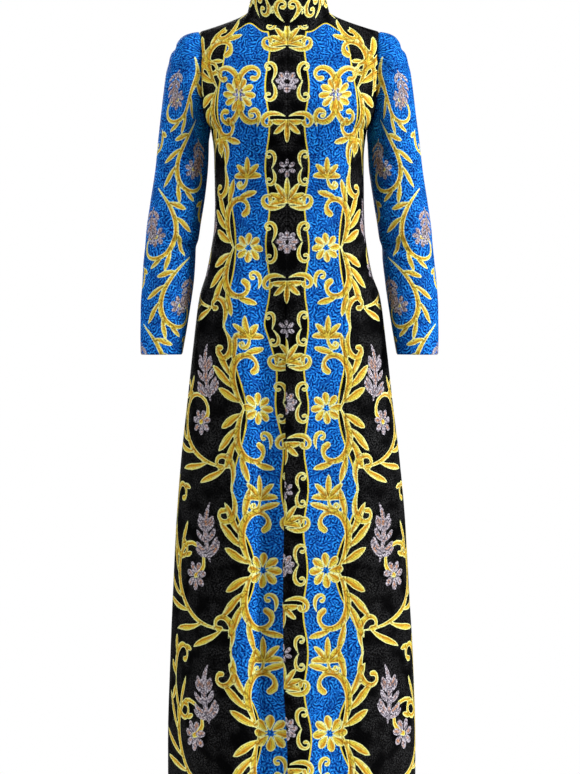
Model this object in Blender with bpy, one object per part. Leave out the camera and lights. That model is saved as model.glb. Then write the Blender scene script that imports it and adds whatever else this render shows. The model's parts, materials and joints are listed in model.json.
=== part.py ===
"""A long fitted coat with a stand collar, worn open and hollow.

Metres, +Z up, the front faces -Y and the wearer's left side is +X. The origin lies at the
middle of the neck base, where the wearer's shoulders and neck carry the coat.

Each piece that is cut from cloth is a wall of its own: a grid of points on the outside of
the cloth, a second grid one cloth thickness inside it, and a strip that closes the edge.
The body pieces share the points of their seams, and each edge is then drawn back by half
a seam gap. The sleeves start on the armhole's own points, the collar on the neckline's.
"""

import bpy
import math
import numpy as np

MM = 0.001

# Cloth
WALL = 2.0 * MM
COLLAR_WALL = 3.0 * MM
SEAM_GAP = 0.3 * MM

# Heights of the coat, measured from the side of the neck base
HEM = -1.503
HIP = -0.621
HIGH_HIP = -0.450
WAIST_TOP = -0.310
ARMPIT = -0.224
PRINCESS_TOP = -0.095
SHOULDER_POINT = -0.036

# Rows of the grids between those heights, and over the shoulder
ROWS_SKIRT = 12
ROWS_HIP = 5
ROWS_WAIST = 5
ROWS_CHEST = 3
ROWS_ARMHOLE = 6
ROWS_SHOULDER = 6

# Columns of the grids
NECK_COLUMNS = 5
SHOULDER_COLUMNS = 4
SIDE_COLUMNS = 7
COLLAR_ROWS = 3

# The body's sections, in mm: half the width at the side seam, or at the armhole above the
# armpit, the middle of that width, and the depths from there to centre front and centre back
BODY_COLUMNS = ("height", "half_width", "middle", "front", "back")
BODY_SECTIONS = (
    (-1503, 234.0, 3.7, 196, 213),
    (-1381, 234.5, 3.7, 190, 207),
    (-1229, 230.4, 3.9, 181, 197),
    (-1096, 224.0, 2.9, 171, 186),
    (-963, 217.0, 2.5, 159, 173),
    (-849, 207.5, 1.7, 147, 160),
    (-735, 194.5, 0.9, 134, 146),
    (-621, 182.0, 0.7, 121, 132),
    (-540, 171.5, 0.5, 111, 120),
    (-498, 158.0, -0.8, 105, 107),
    (-450, 148.5, -0.7, 100, 93),
    (-412, 143.3, -0.2, 97, 84),
    (-365, 141.5, 0.0, 96, 79),
    (-279, 142.0, -1.0, 107, 91),
    (-224, 148.0, -1.0, 116, 98),
    (-210, 156.0, -1.0, 117, 99),
    (-190, 162.0, -1.0, 114, 100),
    (-165, 165.0, -1.0, 108, 99),
    (-131, 166.0, -0.5, 98, 94),
    (-95, 167.0, 0.0, 84, 84),
)

# How square the sections are, from a plain ellipse at 2, below and above the armpit, and the
# height over which that changes
SQUARE_BODY = 2.25
SQUARE_ARMHOLE = 1.35
SQUARE_CHANGE = 0.09

# The seams that shape the body, in mm from the middle plane: the edge of the wearer's left
# front, how far the right front reaches under it, how deep it sinks there, and the princess
# seams of the two fronts and of the back
SEAM_COLUMNS = ("height", "closing", "underlap", "sink", "front_right", "front_left", "back")
SEAM_LINES = (
    (-1503, -2.9, 60, 19.0, 38, 118, 128),
    (-1381, -4.5, 56, 18.0, 39, 114, 123),
    (-1260, -11.0, 52, 17.0, 43, 110, 117),
    (-1096, -12.4, 48, 15.5, 57, 108, 109),
    (-963, -10.5, 42, 13.5, 66, 106, 101),
    (-849, -8.5, 34, 11.0, 74, 105, 93),
    (-735, -7.4, 24, 8.5, 85, 103, 86),
    (-621, -7.2, 10, 6.0, 92, 101, 80),
    (-586, -6.0, 0, 4.0, 94, 100, 78),
    (-540, -5.0, 0, 1.5, 96, 100, 75),
    (-498, -4.5, 0, 0.0, 98, 101, 71),
    (-365, -4.5, 0, 0.0, 102, 103, 60),
    (-249, -4.5, 0, 0.0, 111, 113, 84),
    (-190, -4.5, 0, 0.0, 115, 117, 98),
    (-131, -4.5, 0, 0.0, 124, 125, 121),
    (-113, -4.5, 0, 0.0, 140, 141, 140),
    (-95, -4.5, 0, 0.0, 166, 166, 166),
)
SINK_WIDTH = 62 * MM

# The bust's fullness
BUST_HEIGHT = -0.190
BUST_APART = 0.072
BUST_RISE = 11 * MM
BUST_SPREAD_ACROSS = 0.040
BUST_SPREAD_UP = 0.055

# Flutes of the skirt: they start at the hip and are deepest at the hem
FLUTE_TOP = -0.62
FLUTE_DEPTH = 9 * MM

# The neckline
NECK_MIDDLE = -1.9 * MM
NECK_HALF_WIDTH = 0.0775
NECK_FRONT = 0.062
NECK_BACK = 0.058
NECK_Y = 0.002
NECK_LOW = -0.030
NECK_SIDE = 0.001
NECK_HIGH = 0.008

# The shoulder seam and the armhole
SHOULDER_HALF_WIDTH = 0.170
SHOULDER_Y = 0.002
SHOULDER_HOLLOW = 0.75
ARMHOLE_FRONT = 0.050
ARMHOLE_BACK = 0.052

# How steeply the chest and back rise into the neckline and into the shoulder seam, and how
# long they hold their way before they turn over
NECK_RISE = math.radians(62)
SHOULDER_RISE = math.radians(6)
SHOULDER_FULLNESS = 0.42
SLOPE_STEP = 4 * MM

# The collar
COLLAR_HEIGHT = 0.058
COLLAR_TOP_HALF_WIDTH = 0.065
COLLAR_TOP_FRONT = 0.051
COLLAR_TOP_BACK = 0.049
COLLAR_OPENING = 1.2 * MM

# The sleeve's sections, in mm from the middle plane: where each crosses the outer line of the
# arm and its inner line, half its depth, how far back its middle lies, how far both sleeves
# hang to the right, and how much of the armhole's own form is left in the section. The first
# section is the armhole, the last the cuff.
SLEEVE_COLUMNS = (
    "outer_x", "outer_z", "inner_x", "inner_z", "half_depth", "back", "hang", "armhole_form"
)
SLEEVE_SECTIONS = (
    (170.0, -36.0, 148.0, -224.0, 51.0, 1.0, 0.0, 1.00),
    (185.5, -38.5, 148.7, -229.0, 55.5, 1.0, 1.0, 0.90),
    (201.0, -45.0, 149.3, -235.0, 59.0, 1.0, 1.5, 0.75),
    (214.0, -61.0, 150.0, -241.0, 61.0, 1.5, 2.0, 0.60),
    (225.0, -84.0, 150.7, -249.0, 61.0, 2.0, 2.0, 0.45),
    (232.0, -112.0, 151.0, -259.0, 60.0, 2.5, 2.0, 0.30),
    (237.0, -148.0, 151.5, -273.0, 58.5, 3.0, 2.0, 0.18),
    (242.0, -190.0, 152.5, -293.0, 57.0, 3.5, 2.0, 0.08),
    (247.5, -235.0, 155.5, -320.0, 56.0, 4.0, 1.5, 0.00),
    (254.5, -300.0, 161.0, -360.0, 55.0, 5.0, 1.0, 0.00),
    (264.5, -365.0, 167.5, -400.0, 54.5, 5.5, 1.0, 0.00),
    (271.0, -412.0, 172.0, -430.0, 54.5, 5.5, 1.0, 0.00),
    (273.5, -444.0, 177.0, -447.0, 53.5, 4.0, 1.0, 0.00),
    (276.0, -468.0, 177.5, -464.0, 53.5, 1.5, 1.0, 0.00),
    (279.5, -515.0, 181.5, -512.0, 51.0, -6.0, 0.0, 0.00),
    (282.0, -560.0, 187.5, -557.0, 48.0, -15.0, 0.0, 0.00),
    (282.0, -605.0, 194.5, -603.0, 45.0, -25.0, 0.0, 0.00),
    (281.0, -650.0, 202.5, -650.0, 42.5, -35.0, 0.0, 0.00),
)

# The crease inside the elbow: its section, depth, place round the sleeve and spread
ELBOW_ROW = 12
ELBOW_CREASE = 4.5 * MM
ELBOW_TURN = 0.8 * math.pi
ELBOW_SPREAD = 1.3

# Finishes
SHARP_EDGE = math.radians(40)
BLUE = (0.010, 0.085, 0.520, 1.0)
BLACK = (0.006, 0.006, 0.008, 1.0)

RIGHT = -1
LEFT = 1
FRONT = -1
BACK = 1


def table(columns, rows):
    """The rows as one array of metres for each named column, from the lowest row up."""
    ordered = np.array(sorted(rows), dtype=float) * MM
    return dict(zip(columns, ordered.T))


BODY = table(BODY_COLUMNS, BODY_SECTIONS)
SEAMS = table(SEAM_COLUMNS, SEAM_LINES)


def read(source, column, height):
    """A column at a height, on a cubic through the rows that never overshoots them."""
    xs = source["height"]
    ys = source[column]
    steps = np.diff(xs)
    rises = np.diff(ys) / steps
    slopes = np.empty_like(ys)
    slopes[0] = rises[0]
    slopes[-1] = rises[-1]
    for k in range(1, len(ys) - 1):
        before, after = rises[k - 1], rises[k]
        slopes[k] = 2 * before * after / (before + after) if before * after > 0 else 0.0
    at = min(max(height, xs[0]), xs[-1])
    k = min(int(np.searchsorted(xs, at, side="right")) - 1, len(steps) - 1)
    t = (at - xs[k]) / steps[k]
    start = (1 + 2 * t) * (1 - t) ** 2 * ys[k] + t * (1 - t) ** 2 * steps[k] * slopes[k]
    end = t * t * (3 - 2 * t) * ys[k + 1] + t * t * (t - 1) * steps[k] * slopes[k + 1]
    return start + end


def blend(start, end, t):
    return start + (end - start) * t


def soft_step(t):
    """From 0 to 1 with level ends."""
    t = min(max(t, 0.0), 1.0)
    return t * t * (3 - 2 * t)


def unit(vector):
    return vector / np.linalg.norm(vector)


def armhole_turn(height):
    """The angle round the armhole at a height, from 0 at the shoulder to pi at the armpit."""
    middle = (SHOULDER_POINT + ARMPIT) / 2
    radius = (SHOULDER_POINT - ARMPIT) / 2
    return math.acos(min(max((height - middle) / radius, -1.0), 1.0))


def armhole_depth(height, facing):
    """How far the armhole's edge lies from the side, nothing below the armpit."""
    if height <= ARMPIT:
        return 0.0
    reach = ARMHOLE_FRONT if facing == FRONT else ARMHOLE_BACK
    return reach * math.sin(armhole_turn(height))


def squareness(height):
    return blend(SQUARE_BODY, SQUARE_ARMHOLE, soft_step((height - ARMPIT) / SQUARE_CHANGE))


def side_angle(x, height):
    """The angle of a point across the section: 0 at the middle, pi / 2 at the side."""
    share = abs(x - read(BODY, "middle", height)) / read(BODY, "half_width", height)
    return math.asin(min(share, 1.0) ** (SQUARE_BODY / 2))


def bust(x, height):
    across = (abs(x) - BUST_APART) / BUST_SPREAD_ACROSS
    up = (height - BUST_HEIGHT) / BUST_SPREAD_UP
    return BUST_RISE * math.exp(-across * across - up * up)


def flute(point):
    """The point moved in or out by the skirt's flutes. They leave the sides and middles."""
    depth = FLUTE_DEPTH * soft_step((FLUTE_TOP - point[2]) / (FLUTE_TOP - HEM))
    turn = math.atan2(point[0], -point[1])
    wave = math.sin(2 * turn) * math.cos(5 * turn)
    wave += 0.5 * math.sin(2 * turn) ** 2 * math.cos(8 * turn + 1.0)
    radius = math.hypot(point[0], point[1])
    scale = 1 + depth * wave / radius
    return np.array((point[0] * scale, point[1] * scale, point[2]))


def body_point(angle, height, side, facing):
    """The body's surface at an angle across one quarter of its section."""
    middle = read(BODY, "middle", height)
    half = read(BODY, "half_width", height)
    reach = read(BODY, "front" if facing == FRONT else "back", height)
    edge = armhole_depth(height, facing)
    x = middle + side * half * math.sin(angle) ** (2 / SQUARE_BODY)
    depth = edge + (reach - edge) * max(math.cos(angle), 0.0) ** (2 / squareness(height))
    if facing == FRONT:
        depth += bust(x, height) * math.cos(angle)
    return flute(np.array((x, facing * depth, height)))


def body_at(x, height, facing):
    """The body's surface at a distance from the middle plane."""
    side = LEFT if x >= read(BODY, "middle", height) else RIGHT
    return body_point(side_angle(x, height), height, side, facing)


def sunk(point):
    """A point of the wearer's right side, sunk where the left front lies over it."""
    closing = read(SEAMS, "closing", point[2])
    near = soft_step((point[0] - closing + SINK_WIDTH) / SINK_WIDTH)
    return point + np.array((0.0, read(SEAMS, "sink", point[2]) * near, 0.0))


def neck_point(turn, side):
    """The neckline, at 0 at centre front, pi / 2 at the side and pi at centre back."""
    depth = NECK_FRONT if turn < math.pi / 2 else NECK_BACK
    x = NECK_MIDDLE + side * NECK_HALF_WIDTH * math.sin(turn)
    y = NECK_Y - depth * math.cos(turn)
    if turn < math.pi / 2:
        z = blend(NECK_LOW, NECK_SIDE, abs(math.sin(turn)) ** 3)
    else:
        z = blend(NECK_SIDE, NECK_HIGH, math.cos(turn) ** 2)
    return np.array((x, y, z))


def shoulder_point(share, side):
    """The shoulder seam, from the side of the neck to the armhole."""
    start = neck_point(math.pi / 2, side)
    x = blend(start[0], side * SHOULDER_HALF_WIDTH, share)
    y = blend(start[1], SHOULDER_Y, share)
    z = blend(start[2], SHOULDER_POINT, share ** SHOULDER_HOLLOW)
    return np.array((x, y, z))


def over_shoulder(start, end, facing, rise):
    """The points of one column from the top of the princess seam to the neck or shoulder."""
    below = body_at(start[0], start[2] - SLOPE_STEP, facing)
    lift = unit(np.array((0.0, start[1] - below[1], start[2] - below[2])))
    arrive = np.array((0.0, -facing * math.cos(rise), math.sin(rise)))
    reach = SHOULDER_FULLNESS * np.linalg.norm(end - start)
    points = []
    for k in range(1, ROWS_SHOULDER + 1):
        t = k / ROWS_SHOULDER
        hold = (1 - t) ** 3 * start + 3 * (1 - t) ** 2 * t * (start + reach * lift)
        pull = 3 * (1 - t) * t * t * (end - reach * arrive) + t ** 3 * end
        points.append(hold + pull)
    return points


def body_heights():
    """The heights of the level rows, from the hem to the top of the princess seams."""
    spans = (
        (HEM, HIP, ROWS_SKIRT),
        (HIP, HIGH_HIP, ROWS_HIP),
        (HIGH_HIP, WAIST_TOP, ROWS_WAIST),
        (WAIST_TOP, ARMPIT, ROWS_CHEST),
        (ARMPIT, PRINCESS_TOP, ROWS_ARMHOLE),
    )
    heights = [HEM]
    for low, high, count in spans:
        heights += [blend(low, high, k / count) for k in range(1, count + 1)]
    return heights


HEIGHTS = body_heights()
ARMPIT_ROW = HEIGHTS.index(ARMPIT)


def top_of_column(column, first_turn, side):
    """Where a column ends, at the neckline or the shoulder seam, and how steeply."""
    if column <= NECK_COLUMNS:
        share = column / NECK_COLUMNS
        turn = blend(first_turn, math.pi / 2, share)
        return neck_point(turn, side), blend(NECK_RISE, SHOULDER_RISE, share)
    share = (column - NECK_COLUMNS) / SHOULDER_COLUMNS
    return shoulder_point(share, side), SHOULDER_RISE * (1 - share)


def front_panel(side):
    """One centre front, from the closing edge to the princess seam and the armhole."""
    seam = "front_left" if side == LEFT else "front_right"
    columns = NECK_COLUMNS + SHOULDER_COLUMNS
    rows = []
    for height in HEIGHTS:
        closing = read(SEAMS, "closing", height)
        lap = read(SEAMS, "underlap", height) if side == RIGHT else 0.0
        outer = side * read(SEAMS, seam, height)
        row = []
        for k in range(columns + 1):
            point = body_at(blend(closing + lap, outer, k / columns), height, FRONT)
            row.append(sunk(point) if side == RIGHT else point)
        rows.append(row)
    edge = side * (read(SEAMS, "closing", PRINCESS_TOP) - NECK_MIDDLE)
    first_turn = math.asin(edge / NECK_HALF_WIDTH)
    curved = []
    for k, start in enumerate(rows[-1]):
        end, rise = top_of_column(k, first_turn, side)
        curved.append(over_shoulder(start, end, FRONT, rise))
    rows += [[column[k] for column in curved] for k in range(ROWS_SHOULDER)]
    return np.array(rows)


def side_panel(side, facing):
    """A side front or side back, from the princess seam to the side seam and the armhole."""
    seam = "back"
    if facing == FRONT:
        seam = "front_left" if side == LEFT else "front_right"
    rows = []
    for height in HEIGHTS:
        inner = side_angle(side * read(SEAMS, seam, height), height)
        angles = [blend(inner, math.pi / 2, k / SIDE_COLUMNS) for k in range(SIDE_COLUMNS + 1)]
        row = [body_point(angle, height, side, facing) for angle in angles]
        if side == RIGHT and facing == FRONT:
            row = [sunk(point) for point in row]
        rows.append(row)
    return np.array(rows)


def back_panel():
    """The whole back, from one princess seam to the other."""
    columns = NECK_COLUMNS + SHOULDER_COLUMNS
    rows = []
    for height in HEIGHTS:
        outer = read(SEAMS, "back", height)
        spots = [outer * k / columns for k in range(-columns, columns + 1)]
        rows.append([body_at(x, height, BACK) for x in spots])
    curved = []
    for k in range(-columns, columns + 1):
        side = LEFT if k >= 0 else RIGHT
        end, rise = top_of_column(abs(k), math.pi, side)
        curved.append(over_shoulder(rows[-1][k + columns], end, BACK, rise))
    rows += [[column[k] for column in curved] for k in range(ROWS_SHOULDER)]
    return np.array(rows)


def face_normals(grid, turned):
    """The outward normals of a grid's quads, longer on larger ones."""
    across = grid[1:, 1:] - grid[:-1, :-1]
    along = grid[1:, :-1] - grid[:-1, 1:]
    return np.cross(along, across) if turned else np.cross(across, along)


def point_key(point):
    return tuple(int(round(value / (0.01 * MM))) for value in point)


def shared_normals(grids, turned):
    """Normals at the points of several grids, shared where the grids share a seam."""
    sums = {}
    for grid, flip in zip(grids, turned):
        normals = face_normals(grid, flip)
        for i in range(grid.shape[0]):
            for j in range(grid.shape[1]):
                near = normals[max(i - 1, 0):i + 1, max(j - 1, 0):j + 1]
                key = point_key(grid[i, j])
                sums[key] = sums.get(key, 0.0) + near.sum(axis=(0, 1))
    found = []
    for grid in grids:
        cells = [[unit(sums[point_key(point)]) for point in row] for row in grid]
        found.append(np.array(cells))
    return found


def drawn_back(grid):
    """How far each edge point of a grid moves towards its neighbour, for the seam gap."""
    moves = np.zeros_like(grid)
    half = SEAM_GAP / 2
    for edge, inside in ((0, 1), (-1, -2)):
        along = grid[inside] - grid[edge]
        moves[edge] += half * along / np.linalg.norm(along, axis=1, keepdims=True)
        across = grid[:, inside] - grid[:, edge]
        moves[:, edge] += half * across / np.linalg.norm(across, axis=1, keepdims=True)
    return moves


def add_wall(name, outer, inner, ring, turned, colour, roughness):
    """A closed wall between two grids. A ring's last column joins its first."""
    rows, columns = outer.shape[:2]
    count = rows * columns
    points = np.concatenate((outer.reshape(-1, 3), inner.reshape(-1, 3)))
    spans = columns if ring else columns - 1

    def corner(i, j):
        return i * columns + j % columns

    faces = []
    for i in range(rows - 1):
        for j in range(spans):
            quad = (corner(i, j), corner(i, j + 1), corner(i + 1, j + 1), corner(i + 1, j))
            faces.append(quad)
            faces.append(tuple(index + count for index in reversed(quad)))
    border = [(corner(0, j + 1), corner(0, j)) for j in range(spans)]
    border += [(corner(rows - 1, j), corner(rows - 1, j + 1)) for j in range(spans)]
    if not ring:
        border += [(corner(i, 0), corner(i + 1, 0)) for i in range(rows - 1)]
        border += [(corner(i + 1, spans), corner(i, spans)) for i in range(rows - 1)]
    faces += [(a, b, b + count, a + count) for a, b in border]
    if turned:
        faces = [tuple(reversed(face)) for face in faces]
    mesh = bpy.data.meshes.new(name)
    mesh.from_pydata([tuple(point) for point in points], [], faces)
    mesh.shade_smooth()
    mesh.set_sharp_from_angle(angle=SHARP_EDGE)
    mesh.materials.append(cloth(name, colour, roughness))
    placed = bpy.data.objects.new(name, mesh)
    bpy.context.scene.collection.objects.link(placed)
    return placed


def cloth(name, colour, roughness):
    material = bpy.data.materials.new(name + "_cloth")
    material.use_nodes = True
    shader = material.node_tree.nodes["Principled BSDF"]
    shader.inputs["Base Color"].default_value = colour
    shader.inputs["Roughness"].default_value = roughness
    shader.inputs["Metallic"].default_value = 0.0
    return material


def build_body():
    """The seven body pieces. Returns their outer grids by name."""
    grids = {
        "front_right": front_panel(RIGHT),
        "front_left": front_panel(LEFT),
        "side_front_right": side_panel(RIGHT, FRONT),
        "side_front_left": side_panel(LEFT, FRONT),
        "side_back_right": side_panel(RIGHT, BACK),
        "side_back_left": side_panel(LEFT, BACK),
        "back": back_panel(),
    }
    turned = {
        "front_right": True,
        "front_left": False,
        "side_front_right": True,
        "side_front_left": False,
        "side_back_right": False,
        "side_back_left": True,
        "back": True,
    }
    names = list(grids)
    normals = shared_normals([grids[name] for name in names], [turned[name] for name in names])
    for name, normal in zip(names, normals):
        outer = grids[name] + drawn_back(grids[name])
        inner = outer - WALL * normal
        colour = BLUE if name.startswith("front") or name == "back" else BLACK
        add_wall(name, outer, inner, False, turned[name], colour, 0.55)
    return grids


def armhole_loop(grids, side):
    """The armhole's points and turns, from the shoulder down the front and up the back."""
    word = "left" if side == LEFT else "right"
    edge = -1 if side == LEFT else 0
    front = grids["front_" + word][:, -1]
    back = grids["back"][:, edge]
    side_front = grids["side_front_" + word][:, -1]
    side_back = grids["side_back_" + word][:, -1]
    top = len(HEIGHTS)
    down = list(front[top:][::-1]) + list(side_front[ARMPIT_ROW + 1:][::-1])
    up = list(side_back[ARMPIT_ROW:]) + list(back[top:-1])
    turns = [armhole_turn(point[2]) for point in down]
    turns += [2 * math.pi - armhole_turn(point[2]) for point in up]
    return np.array(down + up), turns


def sleeve_ring(section, turns, side):
    """One section of the sleeve at the armhole's turns."""
    row = dict(zip(SLEEVE_COLUMNS, section))
    outer = np.array((side * row["outer_x"], row["back"], row["outer_z"])) * MM
    inner = np.array((side * row["inner_x"], row["back"], row["inner_z"])) * MM
    middle = (outer + inner) / 2 - np.array((row["hang"] * MM, 0.0, 0.0))
    half = (outer - inner) / 2
    depth = row["half_depth"] * MM
    return np.array([
        middle + math.cos(turn) * half + np.array((0.0, -depth * math.sin(turn), 0.0))
        for turn in turns
    ])


def build_sleeve(grids, side):
    """A sleeve, from the armhole to the cuff, with the crease inside the elbow."""
    name = "sleeve_left" if side == LEFT else "sleeve_right"
    loop, turns = armhole_loop(grids, side)
    form = loop - sleeve_ring(SLEEVE_SECTIONS[0], turns, side)
    rings = []
    last = len(SLEEVE_SECTIONS) - 1
    for k, section in enumerate(SLEEVE_SECTIONS):
        ring = sleeve_ring(section, turns, side)
        ring += section[SLEEVE_COLUMNS.index("armhole_form")] * form
        if k == ELBOW_ROW:
            middle = ring.mean(axis=0)
            for j, turn in enumerate(turns):
                near = soft_step(1 - abs(turn - ELBOW_TURN) / ELBOW_SPREAD)
                ring[j] += ELBOW_CREASE * near * unit(middle - ring[j])
        rings.append(ring)
    outer = np.array(rings)
    outer[0, :, 0] += side * SEAM_GAP
    closed = np.concatenate((outer[:, -1:], outer, outer[:, :1]), axis=1)
    turned = side == RIGHT
    quads = face_normals(closed, turned)
    normals = np.zeros_like(outer)
    for i in range(last + 1):
        for j in range(outer.shape[1]):
            normals[i, j] = unit(quads[max(i - 1, 0):i + 1, j:j + 2].sum(axis=(0, 1)))
    for j, turn in enumerate(turns):
        normals[0, j] = (0.0, -math.sin(turn), math.cos(turn))
    inner = outer - WALL * normals
    add_wall(name, outer, inner, True, turned, BLUE, 0.5)


def build_collar():
    """The stand collar, on the neckline's own points, open at centre front."""
    edge = read(SEAMS, "closing", PRINCESS_TOP) - NECK_MIDDLE
    parts = []
    for side in (LEFT, RIGHT):
        first = math.asin(side * edge / NECK_HALF_WIDTH)
        front = [(blend(first, math.pi / 2, k / NECK_COLUMNS), side) for k in range(NECK_COLUMNS)]
        back = [(math.pi / 2 * (1 + k / NECK_COLUMNS), side) for k in range(NECK_COLUMNS + 1)]
        parts.append(front + back)
    stations = parts[0] + parts[1][-2::-1]
    base = np.array([neck_point(turn, side) for turn, side in stations])
    top = []
    for k, (turn, side) in enumerate(stations):
        depth = COLLAR_TOP_FRONT if turn < math.pi / 2 else COLLAR_TOP_BACK
        x = NECK_MIDDLE + side * COLLAR_TOP_HALF_WIDTH * math.sin(turn)
        point = np.array((x, NECK_Y - depth * math.cos(turn), base[k][2]))
        run = np.linalg.norm(point - base[k])
        point[2] += math.sqrt(COLLAR_HEIGHT ** 2 - run ** 2)
        top.append(point)
    top = np.array(top)
    grid = np.array([blend(base, top, k / COLLAR_ROWS) for k in range(COLLAR_ROWS + 1)])
    normals = shared_normals([grid], [False])[0]
    level = normals * np.array((1.0, 1.0, 0.0))
    normals[0] = [unit(normal) for normal in level[0]]
    lift = unit(top.mean(axis=0) - base.mean(axis=0)) * SEAM_GAP
    grid = grid + lift
    for column, way in ((0, LEFT), (-1, RIGHT)):
        grid[:, column, 0] += way * COLLAR_OPENING / 2
    inner = grid - COLLAR_WALL * normals
    add_wall("collar", grid, inner, False, False, BLACK, 0.5)


def main():
    for old in list(bpy.data.objects):
        bpy.data.objects.remove(old, do_unlink=True)
    grids = build_body()
    for side in (RIGHT, LEFT):
        build_sleeve(grids, side)
    build_collar()


main()
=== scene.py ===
import json
import math

import bpy
import numpy as np
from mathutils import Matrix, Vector

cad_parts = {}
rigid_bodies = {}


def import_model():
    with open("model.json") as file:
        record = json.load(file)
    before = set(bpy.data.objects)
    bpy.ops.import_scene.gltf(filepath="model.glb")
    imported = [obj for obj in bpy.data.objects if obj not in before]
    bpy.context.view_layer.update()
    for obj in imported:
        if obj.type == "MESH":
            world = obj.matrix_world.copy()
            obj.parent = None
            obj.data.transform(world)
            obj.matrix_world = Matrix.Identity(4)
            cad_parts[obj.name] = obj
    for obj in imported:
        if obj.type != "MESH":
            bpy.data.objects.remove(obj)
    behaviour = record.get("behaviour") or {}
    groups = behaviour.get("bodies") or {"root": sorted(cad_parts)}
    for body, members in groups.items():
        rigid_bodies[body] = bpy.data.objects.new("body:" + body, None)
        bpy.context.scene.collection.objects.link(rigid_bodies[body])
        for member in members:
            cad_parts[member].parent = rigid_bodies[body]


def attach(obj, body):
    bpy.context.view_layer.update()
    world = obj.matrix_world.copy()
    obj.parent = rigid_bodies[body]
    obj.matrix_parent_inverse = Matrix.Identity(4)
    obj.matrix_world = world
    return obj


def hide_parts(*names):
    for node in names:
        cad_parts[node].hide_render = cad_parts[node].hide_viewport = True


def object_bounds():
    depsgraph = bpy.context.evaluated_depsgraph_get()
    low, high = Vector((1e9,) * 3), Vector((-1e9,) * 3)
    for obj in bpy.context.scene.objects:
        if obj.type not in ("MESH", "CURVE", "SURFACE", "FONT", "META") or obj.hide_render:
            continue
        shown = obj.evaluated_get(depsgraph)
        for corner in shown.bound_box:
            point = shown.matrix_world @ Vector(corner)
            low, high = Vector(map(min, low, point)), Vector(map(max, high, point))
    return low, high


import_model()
cad_low, cad_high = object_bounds()
MM = 0.001
print("frame box, mm:", [round(side / MM, 1) for side in cad_high - cad_low])

# %% [markdown]
# The camera stands level in front of the coat. A long lens keeps the shoulders, the waist and
# the hem at nearly one scale, as a fashion photograph does, and the picture's lower edge cuts
# the skirt just above the hem. The sensor's size is that of the picture's long side.
# %% Camera
PICTURE_MM = 1470.6
CAMERA_DISTANCE = 6.0
CAMERA_TARGET = Vector((0.001, 0.0, -0.711))
SENSOR_MM = 24.0

camera_data = bpy.data.cameras.new("camera")
camera_data.sensor_width = SENSOR_MM
camera_data.lens = SENSOR_MM * CAMERA_DISTANCE / (PICTURE_MM * MM)
camera = bpy.data.objects.new("camera", camera_data)
camera.location = CAMERA_TARGET + Vector((0.0, -CAMERA_DISTANCE, 0.0))
camera.rotation_euler = (math.pi / 2, 0.0, 0.0)
bpy.context.scene.collection.objects.link(camera)
bpy.context.scene.camera = camera
print("lens, mm:", round(camera_data.lens, 1))

# %% [markdown]
# Soft studio light: a broad panel at the viewer's right is the main light, so that half of the
# coat is brighter, and a weaker one at the left keeps the other half clear. The one in front is
# faint, so that the valley beside the lap stays dark. One overhead gives the shoulders their
# edge, and one behind lights the back. The room is white to the camera, but gives less light
# than it shows, or the cloth would lose its folds. A row holds a panel's name, its place and
# its width in metres, and its power in watts.
# %% Light
ROOM_LIGHT = 0.14
LIGHT_TARGET = Vector((0.0, 0.0, -0.6))
LIGHTS = (
    ("key_panel", (4.07, -1.64, 1.1), 1.5, 330.0),
    ("side_panel", (-3.75, -1.5, 0.8), 1.5, 112.0),
    ("fill_panel", (-0.6, -4.4, 0.2), 2.4, 8.0),
    ("top_panel", (0.4, -0.6, 2.2), 1.8, 34.0),
    ("back_panel", (-0.8, 3.4, 0.8), 2.4, 90.0),
)


def aim(thing, target):
    thing.rotation_euler = (target - thing.location).to_track_quat("-Z", "Y").to_euler()


for name, place, size, power in LIGHTS:
    light = bpy.data.lights.new(name, "AREA")
    light.shape = "DISK"
    light.size = size
    light.energy = power
    lamp = bpy.data.objects.new(name, light)
    lamp.location = place
    bpy.context.scene.collection.objects.link(lamp)
    aim(lamp, LIGHT_TARGET)

world = bpy.data.worlds.new("studio")
bpy.context.scene.world = world
world.use_nodes = True
sky = world.node_tree.nodes["Background"]
sky.inputs["Color"].default_value = (1.0, 1.0, 1.0, 1.0)
rays = world.node_tree.nodes.new("ShaderNodeLightPath")
share = world.node_tree.nodes.new("ShaderNodeMapRange")
share.inputs["To Min"].default_value = ROOM_LIGHT
share.inputs["To Max"].default_value = 1.0
world.node_tree.links.new(rays.outputs["Is Camera Ray"], share.inputs["Value"])
world.node_tree.links.new(share.outputs["Result"], sky.inputs["Strength"])
bpy.context.scene.view_settings.view_transform = "Standard"
print("panels:", len(LIGHTS))

# %% [markdown]
# The floor is a plain pale disc just below the hem. It is as wide as the coat's shadow needs,
# and the picture, which is cut above the hem, doesn't show it.
# %% Floor
FLOOR_BELOW_HEM = 0.03
FLOOR_RADIUS = 0.68
FLOOR_CORNERS = 96

floor_mesh = bpy.data.meshes.new("floor")
level = cad_low.z - FLOOR_BELOW_HEM
turns = np.linspace(0.0, 2 * math.pi, FLOOR_CORNERS + 1)[:-1]
rim = [(FLOOR_RADIUS * math.cos(turn), FLOOR_RADIUS * math.sin(turn), level) for turn in turns]
floor_mesh.from_pydata(rim, [], [tuple(range(len(rim)))])
floor = bpy.data.objects.new("floor", floor_mesh)
bpy.context.scene.collection.objects.link(floor)
print("floor at, mm:", round(level / MM, 1))

# %% [markdown]
# The coat's sizes. The body is a stack of sections, and each row of the table is one height:
# half the width at the side seam, the middle of that width, and how far the front and the back
# stand out. A second table places the seams. They are the sizes of the frame's solids, so a
# shell lies on the solid that it stands for.
# %% Sizes of the body
HEM = -1.503
ARMPIT = -0.224
PRINCESS_TOP = -0.095
SHOULDER_POINT = -0.036
WAIST = -0.365
WALL = 2.0 * MM
SEAM_GAP = 0.3 * MM
RIGHT, LEFT = -1, 1
FRONT, BACK = -1, 1

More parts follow.
